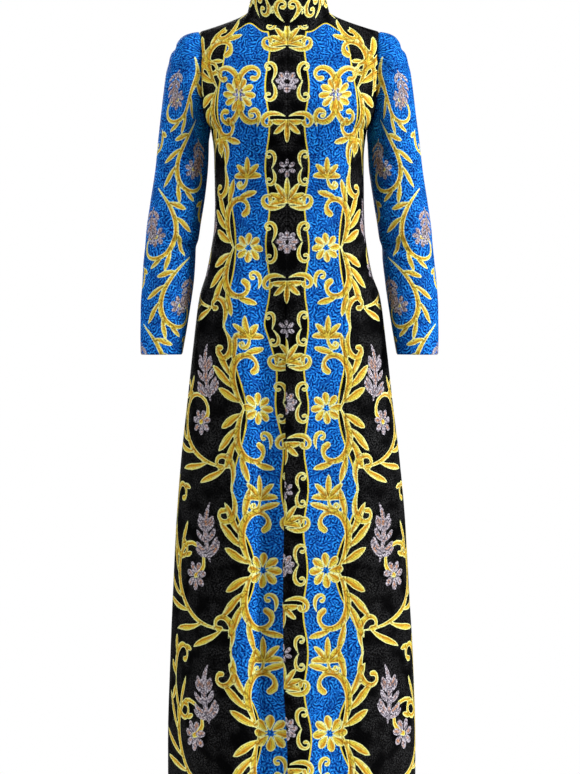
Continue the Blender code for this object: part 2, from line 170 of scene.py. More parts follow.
BODY_COLUMNS = ("height", "half_width", "middle", "front", "back")
BODY_SECTIONS = (
    (-1503, 234.0, 3.7, 196, 213),
    (-1381, 234.5, 3.7, 190, 207),
    (-1229, 230.4, 3.9, 181, 197),
    (-1096, 224.0, 2.9, 171, 186),
    (-963, 217.0, 2.5, 159, 173),
    (-849, 207.5, 1.7, 147, 160),
    (-735, 194.5, 0.9, 134, 146),
    (-621, 182.0, 0.7, 121, 132),
    (-540, 171.5, 0.5, 111, 120),
    (-498, 158.0, -0.8, 105, 107),
    (-450, 148.5, -0.7, 100, 93),
    (-412, 143.3, -0.2, 97, 84),
    (-365, 141.5, 0.0, 96, 79),
    (-279, 142.0, -1.0, 107, 91),
    (-224, 148.0, -1.0, 116, 98),
    (-210, 156.0, -1.0, 117, 99),
    (-190, 162.0, -1.0, 114, 100),
    (-165, 165.0, -1.0, 108, 99),
    (-131, 166.0, -0.5, 98, 94),
    (-95, 167.0, 0.0, 84, 84),
)
SEAM_COLUMNS = ("height", "closing", "underlap", "sink", "front_right", "front_left", "back")
SEAM_LINES = (
    (-1503, -2.9, 60, 19.0, 38, 118, 128),
    (-1381, -4.5, 56, 18.0, 39, 114, 123),
    (-1260, -11.0, 52, 17.0, 43, 110, 117),
    (-1096, -12.4, 48, 15.5, 57, 108, 109),
    (-963, -10.5, 42, 13.5, 66, 106, 101),
    (-849, -8.5, 34, 11.0, 74, 105, 93),
    (-735, -7.4, 24, 8.5, 85, 103, 86),
    (-621, -7.2, 10, 6.0, 92, 101, 80),
    (-586, -6.0, 0, 4.0, 94, 100, 78),
    (-540, -5.0, 0, 1.5, 96, 100, 75),
    (-498, -4.5, 0, 0.0, 98, 101, 71),
    (-365, -4.5, 0, 0.0, 102, 103, 60),
    (-249, -4.5, 0, 0.0, 111, 113, 84),
    (-190, -4.5, 0, 0.0, 115, 117, 98),
    (-131, -4.5, 0, 0.0, 124, 125, 121),
    (-113, -4.5, 0, 0.0, 140, 141, 140),
    (-95, -4.5, 0, 0.0, 166, 166, 166),
)


print("sections:", len(BODY_SECTIONS), "heights with seams:", len(SEAM_LINES))

# %% [markdown]
# Between two rows the sizes follow a cubic that never overshoots them, so that a side is smooth
# and has no bulge that the table doesn't give. The small helpers here serve all the pieces.
# %% Reading the sizes


def table(columns, rows):
    """The rows as one array of metres for each named column, from the lowest row up."""
    ordered = np.array(sorted(rows), dtype=float) * MM
    return dict(zip(columns, ordered.T))


def read(source, column, at):
    """A column at some places of the first column, on a cubic that never overshoots the rows."""
    xs = next(iter(source.values()))
    ys = source[column]
    steps = np.diff(xs)
    rises = np.diff(ys) / steps
    slopes = np.zeros_like(ys)
    slopes[0], slopes[-1] = rises[0], rises[-1]
    product = rises[:-1] * rises[1:]
    total = np.where(product > 0, rises[:-1] + rises[1:], 1.0)
    slopes[1:-1] = np.where(product > 0, 2 * product / total, 0.0)
    at = np.clip(at, xs[0], xs[-1])
    k = np.clip(np.searchsorted(xs, at, side="right") - 1, 0, len(steps) - 1)
    t = (at - xs[k]) / steps[k]
    start = (1 + 2 * t) * (1 - t) ** 2 * ys[k] + t * (1 - t) ** 2 * steps[k] * slopes[k]
    end = t * t * (3 - 2 * t) * ys[k + 1] + t * t * (t - 1) * steps[k] * slopes[k + 1]
    return start + end


def blend(start, end, t):
    return start + (end - start) * t


def soft_step(t):
    """From 0 to 1 with level ends."""
    t = np.clip(t, 0.0, 1.0)
    return t * t * (3 - 2 * t)


def unit(vectors):
    return vectors / np.linalg.norm(vectors, axis=-1, keepdims=True)


def points_of(x, y, z):
    return np.stack(np.broadcast_arrays(x, y, z), axis=-1)


BODY = table(BODY_COLUMNS, BODY_SECTIONS)
SEAMS = table(SEAM_COLUMNS, SEAM_LINES)
waist_wide = float(read(BODY, "half_width", WAIST))
waist_deep = float(read(BODY, "front", WAIST) + read(BODY, "back", WAIST)) / 2
waist_round = 2 * math.pi * math.hypot(waist_wide, waist_deep) / math.sqrt(2)
print("waist round, about mm:", round(waist_round / MM))

# %% [markdown]
# The body's surface. Below the armpit a section is a slightly squared ellipse. Above it, the
# section ends at the armhole's edge, which is an arc in a plane at the arm, and the sides of
# the section grow flatter. The bust and the skirt's flutes are moved out of that surface.
# %% The body's surface
SQUARE_BODY = 2.25
SQUARE_ARMHOLE = 1.35
SQUARE_CHANGE = 0.09
BUST_HEIGHT = -0.190
BUST_APART = 0.072
BUST_RISE = 11 * MM
BUST_SPREAD_ACROSS = 0.040
BUST_SPREAD_UP = 0.055
FLUTE_TOP = -0.62
FLUTE_DEPTH = 9 * MM
FLUTE_SECOND, FLUTE_SHIFT = 0.5, 1.0
ARMHOLE_REACH = {FRONT: 0.050, BACK: 0.052}
SINK_WIDTH = 62 * MM


def armhole_turn(height):
    """The angle round the armhole at a height, from 0 at the shoulder to pi at the armpit."""
    middle = (SHOULDER_POINT + ARMPIT) / 2
    radius = (SHOULDER_POINT - ARMPIT) / 2
    return np.arccos(np.clip((height - middle) / radius, -1.0, 1.0))


def flute(points):
    """The points moved in or out by the skirt's flutes."""
    depth = FLUTE_DEPTH * soft_step((FLUTE_TOP - points[..., 2]) / (FLUTE_TOP - HEM))
    turn = np.arctan2(points[..., 0], -points[..., 1])
    wave = np.sin(2 * turn) * np.cos(5 * turn)
    wave += FLUTE_SECOND * np.sin(2 * turn) ** 2 * np.cos(8 * turn + FLUTE_SHIFT)
    scale = 1 + depth * wave / np.hypot(points[..., 0], points[..., 1])
    return points * np.stack((scale, scale, np.ones_like(scale)), axis=-1)


def body_round(angle, height, side, facing):
    """The surface at an angle across one quarter of the section, 0 at the middle."""
    half = read(BODY, "half_width", height)
    reach = read(BODY, "front" if facing == FRONT else "back", height)
    edge = np.where(height > ARMPIT, ARMHOLE_REACH[facing] * np.sin(armhole_turn(height)), 0.0)
    square = blend(SQUARE_BODY, SQUARE_ARMHOLE, soft_step((height - ARMPIT) / SQUARE_CHANGE))
    x = read(BODY, "middle", height) + side * half * np.sin(angle) ** (2 / SQUARE_BODY)
    depth = edge + (reach - edge) * np.clip(np.cos(angle), 0.0, 1.0) ** (2 / square)
    if facing == FRONT:
        across = (np.abs(x) - BUST_APART) / BUST_SPREAD_ACROSS
        up = (height - BUST_HEIGHT) / BUST_SPREAD_UP
        depth = depth + BUST_RISE * np.exp(-across * across - up * up) * np.cos(angle)
    return flute(points_of(x, facing * depth, height))


def side_angle(x, height):
    share = np.abs(x - read(BODY, "middle", height)) / read(BODY, "half_width", height)
    return np.arcsin(np.clip(share, 0.0, 1.0) ** (SQUARE_BODY / 2))


def body_at(x, height, facing):
    """The surface at a distance from the middle plane."""
    side = np.where(x >= read(BODY, "middle", height), LEFT, RIGHT)
    return body_round(side_angle(x, height), height, side, facing)


def sunk(points):
    """Points of the wearer's right side, sunk where the left front lies over it."""
    height = points[..., 2]
    near = soft_step((points[..., 0] - read(SEAMS, "closing", height) + SINK_WIDTH) / SINK_WIDTH)
    zero = np.zeros_like(near)
    return points + np.stack((zero, read(SEAMS, "sink", height) * near, zero), axis=-1)


print("bust's front at, mm:", round(float(body_at(BUST_APART, BUST_HEIGHT, FRONT)[1]) / MM))


# %% [markdown]
# Over the shoulder the chest and the back bend towards the neckline and the shoulder seam.
# Each column of the grid is a Bezier curve: it leaves the chest in the chest's own direction
# and arrives at the seam at a chosen slope, steep at the neck and level at the shoulder.
# %% Neckline and shoulder
NECK_MIDDLE = -1.9 * MM
NECK_HALF_WIDTH = 0.0775
NECK_DEPTH = {FRONT: 0.062, BACK: 0.058}
NECK_Y = 0.002
NECK_LOW, NECK_SIDE, NECK_HIGH = -0.030, 0.001, 0.008
NECK_SHARE = 5 / 9
SHOULDER_HALF_WIDTH = 0.170
SHOULDER_Y = 0.002
SHOULDER_HOLLOW = 0.75
NECK_RISE = math.radians(62)
SHOULDER_RISE = math.radians(6)
SHOULDER_FULLNESS = 0.42
SLOPE_STEP = 4 * MM
NECK_STEPS = 96


def neck_point(turn, side):
    """The neckline, at 0 at centre front, pi / 2 at the side and pi at centre back."""
    ahead = turn < math.pi / 2
    y = NECK_Y - np.where(ahead, NECK_DEPTH[FRONT], NECK_DEPTH[BACK]) * np.cos(turn)
    low = blend(NECK_LOW, NECK_SIDE, np.abs(np.sin(turn)) ** 3)
    high = blend(NECK_SIDE, NECK_HIGH, np.cos(turn) ** 2)
    x = NECK_MIDDLE + side * NECK_HALF_WIDTH * np.sin(turn)
    return points_of(x, y, np.where(ahead, low, high))


def shoulder_point(share, side):
    """The shoulder seam, from the side of the neck to the armhole."""
    start = neck_point(np.array(math.pi / 2), side)
    x = blend(start[0], side * SHOULDER_HALF_WIDTH, share)
    y = blend(start[1], SHOULDER_Y, share)
    return points_of(x, y, blend(start[2], SHOULDER_POINT, share**SHOULDER_HOLLOW))


def over_shoulder(start, shares, first_turn, side, facing, rows):
    """The rows above the princess seam's top. shares run from the middle to the armhole."""
    neck = np.clip(shares / NECK_SHARE, 0.0, 1.0)
    along = np.clip((shares - NECK_SHARE) / (1 - NECK_SHARE), 0.0, 1.0)
    at_neck = neck_point(blend(first_turn, math.pi / 2, neck), side)
    end = np.where((shares <= NECK_SHARE)[:, None], at_neck, shoulder_point(along, side))
    rise = np.where(
        shares <= NECK_SHARE, blend(NECK_RISE, SHOULDER_RISE, neck), SHOULDER_RISE * (1 - along)
    )
    below = body_at(start[:, 0], start[:, 2] - SLOPE_STEP, facing)
    zero = np.zeros_like(rise)
    lift = unit(points_of(zero, start[:, 1] - below[:, 1], start[:, 2] - below[:, 2]))
    arrive = points_of(zero, -facing * np.cos(rise), np.sin(rise))
    pull = SHOULDER_FULLNESS * np.linalg.norm(end - start, axis=1, keepdims=True)
    grid = []
    for t in np.arange(1, rows + 1) / rows:
        near = (1 - t) ** 3 * start + 3 * (1 - t) ** 2 * t * (start + pull * lift)
        grid.append(near + 3 * (1 - t) * t * t * (end - pull * arrive) + t**3 * end)
    return np.array(grid)


turns = np.linspace(0.0, 2 * math.pi, NECK_STEPS + 1)
half_turns = np.minimum(turns, 2 * math.pi - turns)
neckline = neck_point(half_turns, np.where(turns > math.pi, RIGHT, LEFT))
neck_round = np.linalg.norm(np.diff(neckline, axis=0), axis=1).sum()
print("neckline round, mm:", round(float(neck_round) / MM))

# %% [markdown]
# The grids. Rows are level and about 3 mm apart. Between the armpit and the top of the princess
# seam they follow equal turns round the armhole instead, so that the sleeve, which starts on
# these points, gets them evenly spaced. Two close rows or columns lie at each edge, where the
# cloth rolls into the seam.
# %% Rows and columns
GRID = 3.0 * MM
EDGE_ROWS = (0.8 * MM, 2.0 * MM)
EDGE_SHARES = (0.007, 0.018)
ARMHOLE_ROWS = 50
SHOULDER_ROWS = 44


def rows_of_body():
    """The level rows' heights, an even number of steps below the armpit and above it."""
    count = 2 * round((ARMPIT - HEM) / GRID / 2)
    level = np.linspace(HEM, ARMPIT, count + 1)
    close = [HEM + step for step in EDGE_ROWS]
    turns = np.linspace(math.pi, armhole_turn(PRINCESS_TOP), ARMHOLE_ROWS + 1)[1:]
    middle = (SHOULDER_POINT + ARMPIT) / 2
    radius = (SHOULDER_POINT - ARMPIT) / 2
    upper = middle + radius * np.cos(turns)
    upper[-1] = PRINCESS_TOP
    return np.concatenate(([HEM], close, level[1:], upper))


def shares_of(count):
    """Shares across a piece, with close ones at both edges. One lies at the neck's share."""
    even = np.linspace(0.0, 1.0, count + 1)
    close = np.array(EDGE_SHARES)
    return np.sort(np.concatenate((even, close, 1 - close)))


HEIGHTS = rows_of_body()
ARMPIT_ROW = int(np.argmin(np.abs(HEIGHTS - ARMPIT)))
ACROSS_FRONT = shares_of(54)
ACROSS_SIDE = shares_of(72)
print("rows:", len(HEIGHTS) + SHOULDER_ROWS, "columns of a front:", len(ACROSS_FRONT))


# %% [markdown]
# The cut pieces as grids of points. A front runs from its free edge to the princess seam, and
# the wearer's right front reaches under the left one in the skirt. Along with the points each
# grid keeps its flat place on the cloth: how far it is from the centre, measured along the
# cloth, and its height, measured along the cloth over the shoulder.
# %% Body pieces
def along_rows(grid):
    """The distance along each row from its first point."""
    steps = np.linalg.norm(np.diff(grid, axis=1), axis=2)
    return np.concatenate((np.zeros((len(grid), 1)), np.cumsum(steps, axis=1)), axis=1)


def cloth_heights(grid, level_rows):
    """The height of each point, measured along the cloth above the level rows."""
    heights = grid[..., 2].copy()
    steps = np.linalg.norm(np.diff(grid[level_rows - 1:], axis=0), axis=2)
    heights[level_rows:] = heights[level_rows - 1] + np.cumsum(steps, axis=0)
    return heights


def front_piece(side):
    heights = HEIGHTS[:, None]
    lap = read(SEAMS, "underlap", heights) if side == RIGHT else 0.0
    inner = read(SEAMS, "closing", heights) + lap
    seam = "front_left" if side == LEFT else "front_right"
    x = blend(inner, side * read(SEAMS, seam, heights), ACROSS_FRONT)
    grid = body_at(x, np.broadcast_to(heights, x.shape), FRONT)
    if side == RIGHT:
        grid = sunk(grid)
    edge = side * (read(SEAMS, "closing", PRINCESS_TOP) - NECK_MIDDLE)
    first = math.asin(edge / NECK_HALF_WIDTH)
    top = over_shoulder(grid[-1], ACROSS_FRONT, first, side, FRONT, SHOULDER_ROWS)
    return np.concatenate((grid, top))


def side_piece(side, facing):
    seam = "back"
    if facing == FRONT:
        seam = "front_left" if side == LEFT else "front_right"
    heights = HEIGHTS[:, None]
    inner = side_angle(side * read(SEAMS, seam, heights), heights)
    angles = blend(inner, math.pi / 2, ACROSS_SIDE)
    grid = body_round(angles, np.broadcast_to(heights, angles.shape), side, facing)
    return sunk(grid) if side == RIGHT and facing == FRONT else grid


def back_piece():
    shares = np.concatenate((-ACROSS_FRONT[:0:-1], ACROSS_FRONT))
    heights = HEIGHTS[:, None]
    x = read(SEAMS, "back", heights) * shares
    grid = body_at(x, np.broadcast_to(heights, x.shape), BACK)
    middle = len(ACROSS_FRONT) - 1
    left = over_shoulder(grid[-1, middle:], ACROSS_FRONT, math.pi, LEFT, BACK, SHOULDER_ROWS)
    right = over_shoulder(grid[-1, middle::-1], ACROSS_FRONT, math.pi, RIGHT, BACK, SHOULDER_ROWS)
    top = np.concatenate((right[:, :0:-1], left), axis=1)
    return np.concatenate((grid, top))


print("points across the back:", back_piece().shape[1])

# %% [markdown]
# The pieces are kept by the names of the nodes that they stand for. On some of them the columns
# run from right to left as seen from outside, so their faces are turned over. A side piece's
# flat places go on from those of the front or the back, so that the print runs over the
# princess seams.
# %% The pieces and their flat places
GRIDS = {
    "front_right": front_piece(RIGHT),
    "front_left": front_piece(LEFT),
    "side_front_right": side_piece(RIGHT, FRONT),
    "side_front_left": side_piece(LEFT, FRONT),
    "side_back_right": side_piece(RIGHT, BACK),
    "side_back_left": side_piece(LEFT, BACK),
    "back": back_piece(),
}
TURNED = ("front_right", "side_front_right", "side_back_left", "back")

FLAT = {}
for name, grid in GRIDS.items():
    across = along_rows(grid)
    if name == "back":
        across = across - across[:, [len(ACROSS_FRONT) - 1]]
    elif name.startswith("side"):
        word = name.split("_")[-1]
        if "front" in name:
            start = FLAT["front_" + word][: len(HEIGHTS), -1, 0]
        else:
            start = along_rows(GRIDS["back"])[: len(HEIGHTS), -1] / 2
        across = across + start[:, None]
    FLAT[name] = np.stack((across, cloth_heights(grid, len(HEIGHTS))), axis=-1)
    print(name, grid.shape, "to", round(float(FLAT[name][..., 0].max()) / MM), "mm from the centre")


# %% [markdown]
# Folds. Cloth this firm hangs nearly smooth, with a few long soft ones: the right front falls
# back into a valley beside the lap, the waist draws shallow troughs from the side seams, and
# the skirt breaks into uneven ridges. Each row of the table is one fold between two places on
# the front or the back, in mm, with its width and its depth, and it dies away at both ends. A
# negative depth is a trough.
# %% Folds of the body
FOLDS = (
    (FRONT, -46, -420, -52, -1503, 27, -15.0),
    (FRONT, -72, -640, -98, -1503, 22, 2.5),
    (FRONT, -118, -600, -150, -1503, 26, -3.0),
    (FRONT, 62, -560, 78, -1503, 24, -2.5),
    (FRONT, 128, -640, 158, -1503, 24, 2.5),
    (FRONT, 30, -720, 34, -1503, 20, 1.5),
    (FRONT, -138, -352, -86, -372, 9, -2.2),
    (FRONT, -136, -396, -98, -388, 8, -1.6),
    (FRONT, 138, -360, 90, -384, 10, -2.0),
    (FRONT, 136, -404, 104, -398, 7, -1.4),
    (FRONT, -150, -236, -104, -252, 10, -1.8),
    (FRONT, 150, -240, 112, -262, 9, -1.6),
    (FRONT, -128, -470, -96, -560, 16, 1.5),
    (FRONT, 130, -480, 102, -552, 15, 1.4),
    (BACK, -44, -520, -62, -1503, 26, -4.0),
    (BACK, 52, -560, 80, -1503, 24, -3.5),
    (BACK, 6, -640, 12, -1503, 22, 3.0),
    (BACK, -122, -600, -152, -1503, 26, 3.0),
    (BACK, 124, -640, 160, -1503, 26, 3.0),
    (BACK, -134, -356, -40, -372, 10, -2.4),
    (BACK, 134, -350, 52, -380, 11, -2.2),
    (BACK, -130, -398, -58, -408, 8, -1.6),
    (BACK, 132, -392, 46, -402, 8, -1.8),
    (BACK, -140, -150, -84, -120, 14, -2.0),
    (BACK, 140, -146, 90, -118, 14, -2.0),
)
FOLD_START = 60 * MM
FOLD_FADE = 60 * MM
SEAM_ROLL = 1.7 * MM
SEAM_ROLL_WIDTH = 4.2 * MM
PUCKER_DEPTH = 0.35 * MM
PUCKER_REACH = 12 * MM
PUCKER_STEPS = (17 * MM, 27 * MM)
PUCKER_SHIFT = 1.3


def fold_depth(points, facing):
    """How far the folds move each point outwards."""
    moved = np.zeros(points.shape[:-1])
    x, z = points[..., 0], points[..., 2]
    for face, x0, z0, x1, z1, width, depth in FOLDS:
        if face != facing:
            continue
        start = np.array((x0, z0)) * MM
        way = np.array((x1, z1)) * MM - start
        long = np.linalg.norm(way)
        t = ((x - start[0]) * way[0] + (z - start[1]) * way[1]) / long**2
        off = ((x - start[0]) * way[1] - (z - start[1]) * way[0]) / long
        ends = soft_step(t * long / FOLD_START) * soft_step((1 - t) * long / FOLD_START)
        moved += depth * MM * ends * np.exp(-((off / (width * MM)) ** 2))
    return moved * soft_step(np.abs(points[..., 1]) / FOLD_FADE)


def to_edges(grid):
    """How far each point is from the piece's side edges and from its ends, along the cloth."""
    across = along_rows(grid)
    sides = np.minimum(across, across[:, -1:] - across)
    steps = np.linalg.norm(np.diff(grid, axis=0), axis=2)
    along = np.concatenate((np.zeros((1, grid.shape[1])), np.cumsum(steps, axis=0)))
    ends = np.minimum(along, along[-1:] - along)
    return sides, ends


def normals_of(grid, turned, ring=False):
    if ring:
        grid = np.concatenate((grid[:, -1:], grid, grid[:, :1]), axis=1)
    normals = np.cross(np.gradient(grid, axis=1), np.gradient(grid, axis=0))
    normals = -normals if turned else normals
    return unit(normals[:, 1:-1] if ring else normals)


def edge_roll(near):
    """How far the cloth rolls in, at a distance from its edge."""
    return SEAM_ROLL * np.clip(1 - near / SEAM_ROLL_WIDTH, 0.0, 1.0) ** 2


def seam_sink(sides, ends, flat):
    """The cloth rolls in at its edges and puckers a little beside the seams."""
    wave = np.sin(2 * math.pi * flat[..., 1] / PUCKER_STEPS[0])
    wave = wave * np.sin(2 * math.pi * flat[..., 1] / PUCKER_STEPS[1] + PUCKER_SHIFT)
    pucker = PUCKER_DEPTH * wave * np.clip(1 - sides / PUCKER_REACH, 0.0, 1.0) ** 2
    return edge_roll(np.minimum(sides, ends)) + pucker


for name, grid in GRIDS.items():
    depths = fold_depth(grid, BACK if "back" in name else FRONT) / MM
    print(name, "folds from", round(float(depths.min()), 1), "to", round(float(depths.max()), 1), "mm")


# %% [markdown]
# The print is drawn in flat millimetres on the cloth, u from the centre outwards and v up the
# coat, with a pen whose strokes bend and swell. From each grid point the distance to the
# strokes is measured and kept on the mesh. A finish then finds a stroke's edge between the
# points, where that distance passes zero, so the print stays crisp on a 3 mm grid. Each form of
# the pen is a short table: how far along the stroke, and the share of its full width there.
# %% The pen
FAR = 20.0
INK_REACH = 7.0
LEAST_HALF = 0.5
PEN_FORMS = {
    "scroll": (
        (0.0, 0.22), (0.25, 0.8), (0.5, 1.0), (0.75, 0.66), (0.88, 0.52), (0.97, 0.92), (1.0, 0.8),
    ),
    "leaf": ((0.0, 0.28), (0.3, 0.78), (0.58, 1.0), (0.82, 0.72), (0.95, 0.25), (1.0, 0.05)),
    "petal": ((0.0, 0.2), (0.4, 0.7), (0.75, 1.0), (0.92, 0.8), (1.0, 0.35)),
}
LONG_STEPS, SHORT_STEPS = 24, 12
PEN_WEIGHT = 0.88
LOBE_LEAST, LOBE_MORE, LOBE_FROM, LOBE_OVER = 0.62, 0.38, 0.15, 0.8
LOBE_WIDTH, LOBE_THINNING = 1.06, 0.2
LOBE_TURN, LOBE_TURN_LOSS, LOBE_BEND, LOBE_CURL = 52, 14, 50, 40
BARB_FROM, BARB_TO, BARB_LENGTH, BARB_SHORTENING = 0.1, 0.66, 0.36, 0.18
BARB_TURN, BARB_TURN_LOSS, BARB_BEND, BARB_WIDTH = 72, 24, 40, 0.85
FAN_SHORTENING, FAN_BEND, FAN_CURL = 0.28, 22, 40
EYE_SHARE, PETAL_SHARE, PETAL_BEND = 0.24, 0.76, 14


def stroke(u, v, heading, length, bend, curl, width, form="scroll", steps=LONG_STEPS):
    """A stroke as points, half widths and the hand to which it bends. curl comes late in it."""
    t = np.linspace(0.0, 1.0, steps + 1)
    turn = np.radians(heading + bend * t + curl * t**3)
    middle = (turn[1:] + turn[:-1]) / 2
    us = u + np.concatenate(([0.0], np.cumsum(np.cos(middle)))) * length / steps
    vs = v + np.concatenate(([0.0], np.cumsum(np.sin(middle)))) * length / steps
    shares, swell = np.array(PEN_FORMS[form]).T
    hand = 1.0 if bend + curl >= 0 else -1.0
    half = PEN_WEIGHT * width / 2 * np.interp(t, shares, swell)
    return np.stack((us, vs), axis=1), half, hand


print("forms of the pen:", ", ".join(PEN_FORMS))

# %% [markdown]
# The motifs are made of strokes. An acanthus is a scroll with lobes along one side, a feather
# has barbs at both sides of its rib, a fan spreads its leaves like a hand, and a rosette is an
# open flower. Each gives a list of strokes, so that motifs can be added to each other.
# %% Motifs


def place_on(made, share):
    """A point of a stroke, and the stroke's heading there."""
    points = made[0]
    k = min(int(share * (len(points) - 1)), len(points) - 2)
    ahead = points[k + 1] - points[k]
    return points[k], math.degrees(math.atan2(ahead[1], ahead[0]))


def acanthus(
    u, v, heading, length, bend, curl, width, lobes=5, side=1, first=0.10, last=0.72, size=0.42
):
    """A scroll with long lobes along one side, longest at its middle."""
    spine = stroke(u, v, heading, length, bend, curl, width)
    made = [spine]
    for share in np.linspace(0.0, 1.0, lobes):
        (at_u, at_v), way = place_on(spine, blend(first, last, share))
        swell = LOBE_LEAST + LOBE_MORE * math.sin(math.pi * (LOBE_FROM + LOBE_OVER * share))
        way = way + side * (LOBE_TURN - LOBE_TURN_LOSS * share)
        made.append(stroke(
            at_u, at_v, way, length * size * swell, -side * LOBE_BEND, side * LOBE_CURL,
            width * (LOBE_WIDTH - LOBE_THINNING * share), "leaf", SHORT_STEPS,
        ))
    return made


def feather(u, v, heading, length, bend, width, lobes=4):
    """A leaf with lobes at both sides of its rib."""
    rib = stroke(u, v, heading, length, bend, bend, width, "leaf", SHORT_STEPS)
    made = [rib]
    for share in np.linspace(BARB_FROM, BARB_TO, lobes):
        (at_u, at_v), way = place_on(rib, share)
        long = length * (BARB_LENGTH - BARB_SHORTENING * share)
        for side in (1, -1):
            made.append(stroke(
                at_u, at_v, way + side * (BARB_TURN - BARB_TURN_LOSS * share), long,
                -side * BARB_BEND, 0, width * BARB_WIDTH, "leaf", SHORT_STEPS,
            ))
    return made


def fan(u, v, heading, radius, count, spread, width):
    """A palmette: leaves spread like a hand, the middle one longest."""
    return [
        stroke(u, v, heading + share * spread / 2, radius * (1 - FAN_SHORTENING * abs(share)),
               share * FAN_BEND, share * FAN_CURL, width, "leaf", SHORT_STEPS)
        for share in np.linspace(-1.0, 1.0, count)
    ]


def rosette(u, v, radius, petals, turn=0.0, width=0.62):
    """An open flower."""
    made = []
    for way in turn + np.arange(petals) * 360 / petals:
        start_u = u + EYE_SHARE * radius * math.cos(math.radians(way))
        start_v = v + EYE_SHARE * radius * math.sin(math.radians(way))
        made.append(stroke(
            start_u, start_v, way, PETAL_SHARE * radius, PETAL_BEND, 0, width * radius, "petal",
            SHORT_STEPS,
        ))
    return made


def pair(u, v, heading, length, bend, curl, width, side=0, **more):
    """Two scrolls from one place, one up and one down. side gives them lobes."""
    made = []
    for up in (1, -1):
        shape = (u, v, up * heading, length, up * bend, up * curl, width)
        if side:
            made += acanthus(*shape, side=up * side, **more)
        else:
            made.append(stroke(*shape))
    return made


print("strokes in an acanthus:", len(acanthus(0, 0, 90, 100, 40, 200, 12)))

# %% [markdown]
# Ink. For each point of a grid, only the strokes whose box holds it are measured. The nearest
# stroke gives the distance and the place across the stroke, from -1 to 1, and the next one lets
# a finish draw a line where a lobe lies on another.
# %% Ink


def ink(places, strokes):
    """The distance to the nearest stroke's edge, to the next one's, and the place across it."""
    best = np.full(len(places), FAR)
    second = np.full(len(places), FAR)
    across = np.zeros(len(places))
    for points, half, hand in strokes:
        margin = half.max() + INK_REACH
        low, high = points.min(axis=0) - margin, points.max(axis=0) + margin
        near = np.nonzero(((places > low) & (places < high)).all(axis=1))[0]
        if not len(near):
            continue
        here = places[near][:, None]
        start, way = points[:-1], np.diff(points, axis=0)
        t = np.clip(((here - start) * way).sum(axis=2) / (way * way).sum(axis=1), 0.0, 1.0)
        off = here - start - t[..., None] * way
        wide = blend(half[:-1], half[1:], t)
        gap = np.linalg.norm(off, axis=2) - wide
        k = gap.argmin(axis=1)
        row = np.arange(len(near))
        found = gap[row, k]
        cross = way[k, 0] * off[row, k, 1] - way[k, 1] * off[row, k, 0]
        cross = hand * cross / np.linalg.norm(way[k], axis=1) / np.maximum(wide[row, k], LEAST_HALF)
        nearer = found < best[near]
        second[near] = np.where(nearer, best[near], np.minimum(second[near], found))
        best[near[nearer]] = found[nearer]
        across[near[nearer]] = cross[nearer]
    return best, second, across


dot = ink(np.zeros((1, 2)), rosette(0, 0, 10, 6))
print("from a flower's middle to its petals, mm:", round(float(dot[0][0]), 2))

# %% [markdown]
# The ground. The print is a general one in the manner of old furnishing damasks, mirrored about
# the centre: black, with a wavy blue band at each side that follows the bust and grows wider
# as the skirt flares. The pattern repeats down the coat.
# %% The ground
PERIOD = 300.0
REPEATS = 6
FLARE_FROM, FLARE_OVER = -380.0, 900.0
BUST_V, BUST_SPREAD = -185.0, 95.0
INNER_EDGE, INNER_WAVE, INNER_FLARE = 37, 4, 5
OUTER_EDGE, OUTER_WAVE, OUTER_WAVE_FLARE, OUTER_FLARE, OUTER_BUST = 108, 8, 18, 16, 38
BAND_TOP, TOP_WAVE, TOP_WAVE_STEP = -30.0, 10, 13


def flare(v):
    """From 0 at the waist to 1 near the hem."""
    return soft_step((FLARE_FROM - v) / FLARE_OVER)


def band_edges(v):
    """The blue band's inner and outer edge at a height."""
    wave = np.cos(2 * math.pi * v / PERIOD)
    bust = np.exp(-(((v - BUST_V) / BUST_SPREAD) ** 2))
    inner = INNER_EDGE + INNER_WAVE * np.cos(4 * math.pi * v / PERIOD) + INNER_FLARE * flare(v)
    swing = (OUTER_WAVE + OUTER_WAVE_FLARE * flare(v)) * wave
    outer = OUTER_EDGE + swing + OUTER_FLARE * flare(v) + OUTER_BUST * bust
    return inner, outer


def body_ground(places):
    """Positive in the blue band, negative on black, in mm from the band's edge."""
    u, v = np.abs(places[:, 0]), places[:, 1]
    inner, outer = band_edges(v)
    top = BAND_TOP - v + TOP_WAVE * np.cos(u / TOP_WAVE_STEP)
    return np.minimum(np.minimum(u - inner, outer - u), top)


print("band at the waist, mm:", [round(float(edge)) for edge in band_edges(WAIST / MM)])

# %% [markdown]
# The body's gold and silver. Leafy scrolls run along the band's edges, stems wind to a flower
# at the sides, fans and brackets fill the black centre, and the flowers and feathery leaves
# are silver. A scroll's row in a table holds its place across and down one repeat, its heading
# in degrees, its length, bend, curl and width. A fan's row holds its place down, its heading,
# its radius, its number of leaves, its spread and their width.
# %% The body's gold and silver
CENTRE_FANS = (
    (66, 90, 48, 7, 160, 13),
    (214, -90, 42, 5, 140, 13),
)
CENTRE_SCROLLS = (
    (4, 72, -22, 74, 50, 260, 12),
    (4, 206, 22, 74, -50, -260, 12),
)
CENTRE_BRACKETS = (
    (29, 140, 124, 66, -66, -270, 9),
    (29, 2, 124, 56, -66, -270, 8),
)
CENTRE_FLOWERS = ((140, 19, 8, 0), (2, 15, 6, 30))
BAND_SCROLLS = (
    (2, 14, -90, 52, 50, 300, 9),
    (-18, 226, 112, 56, -60, -250, 10),
)
BAND_FAN = (20, 90, 40, 5, 130, 14)
EDGE_SCROLLS = (4, 0, 62, 150, 40, 235, 17)
NARROW_SCROLLS = (3, 0, 112, 92, -50, -260, 14)
SIDE_SCROLLS = (280, 60, 88, 130, 40, 250, 14)
WINDING = (16, 262, 4, 270, 100, 250, 14)
FEATHER = (52, 136, 74, 108, 24, 14)
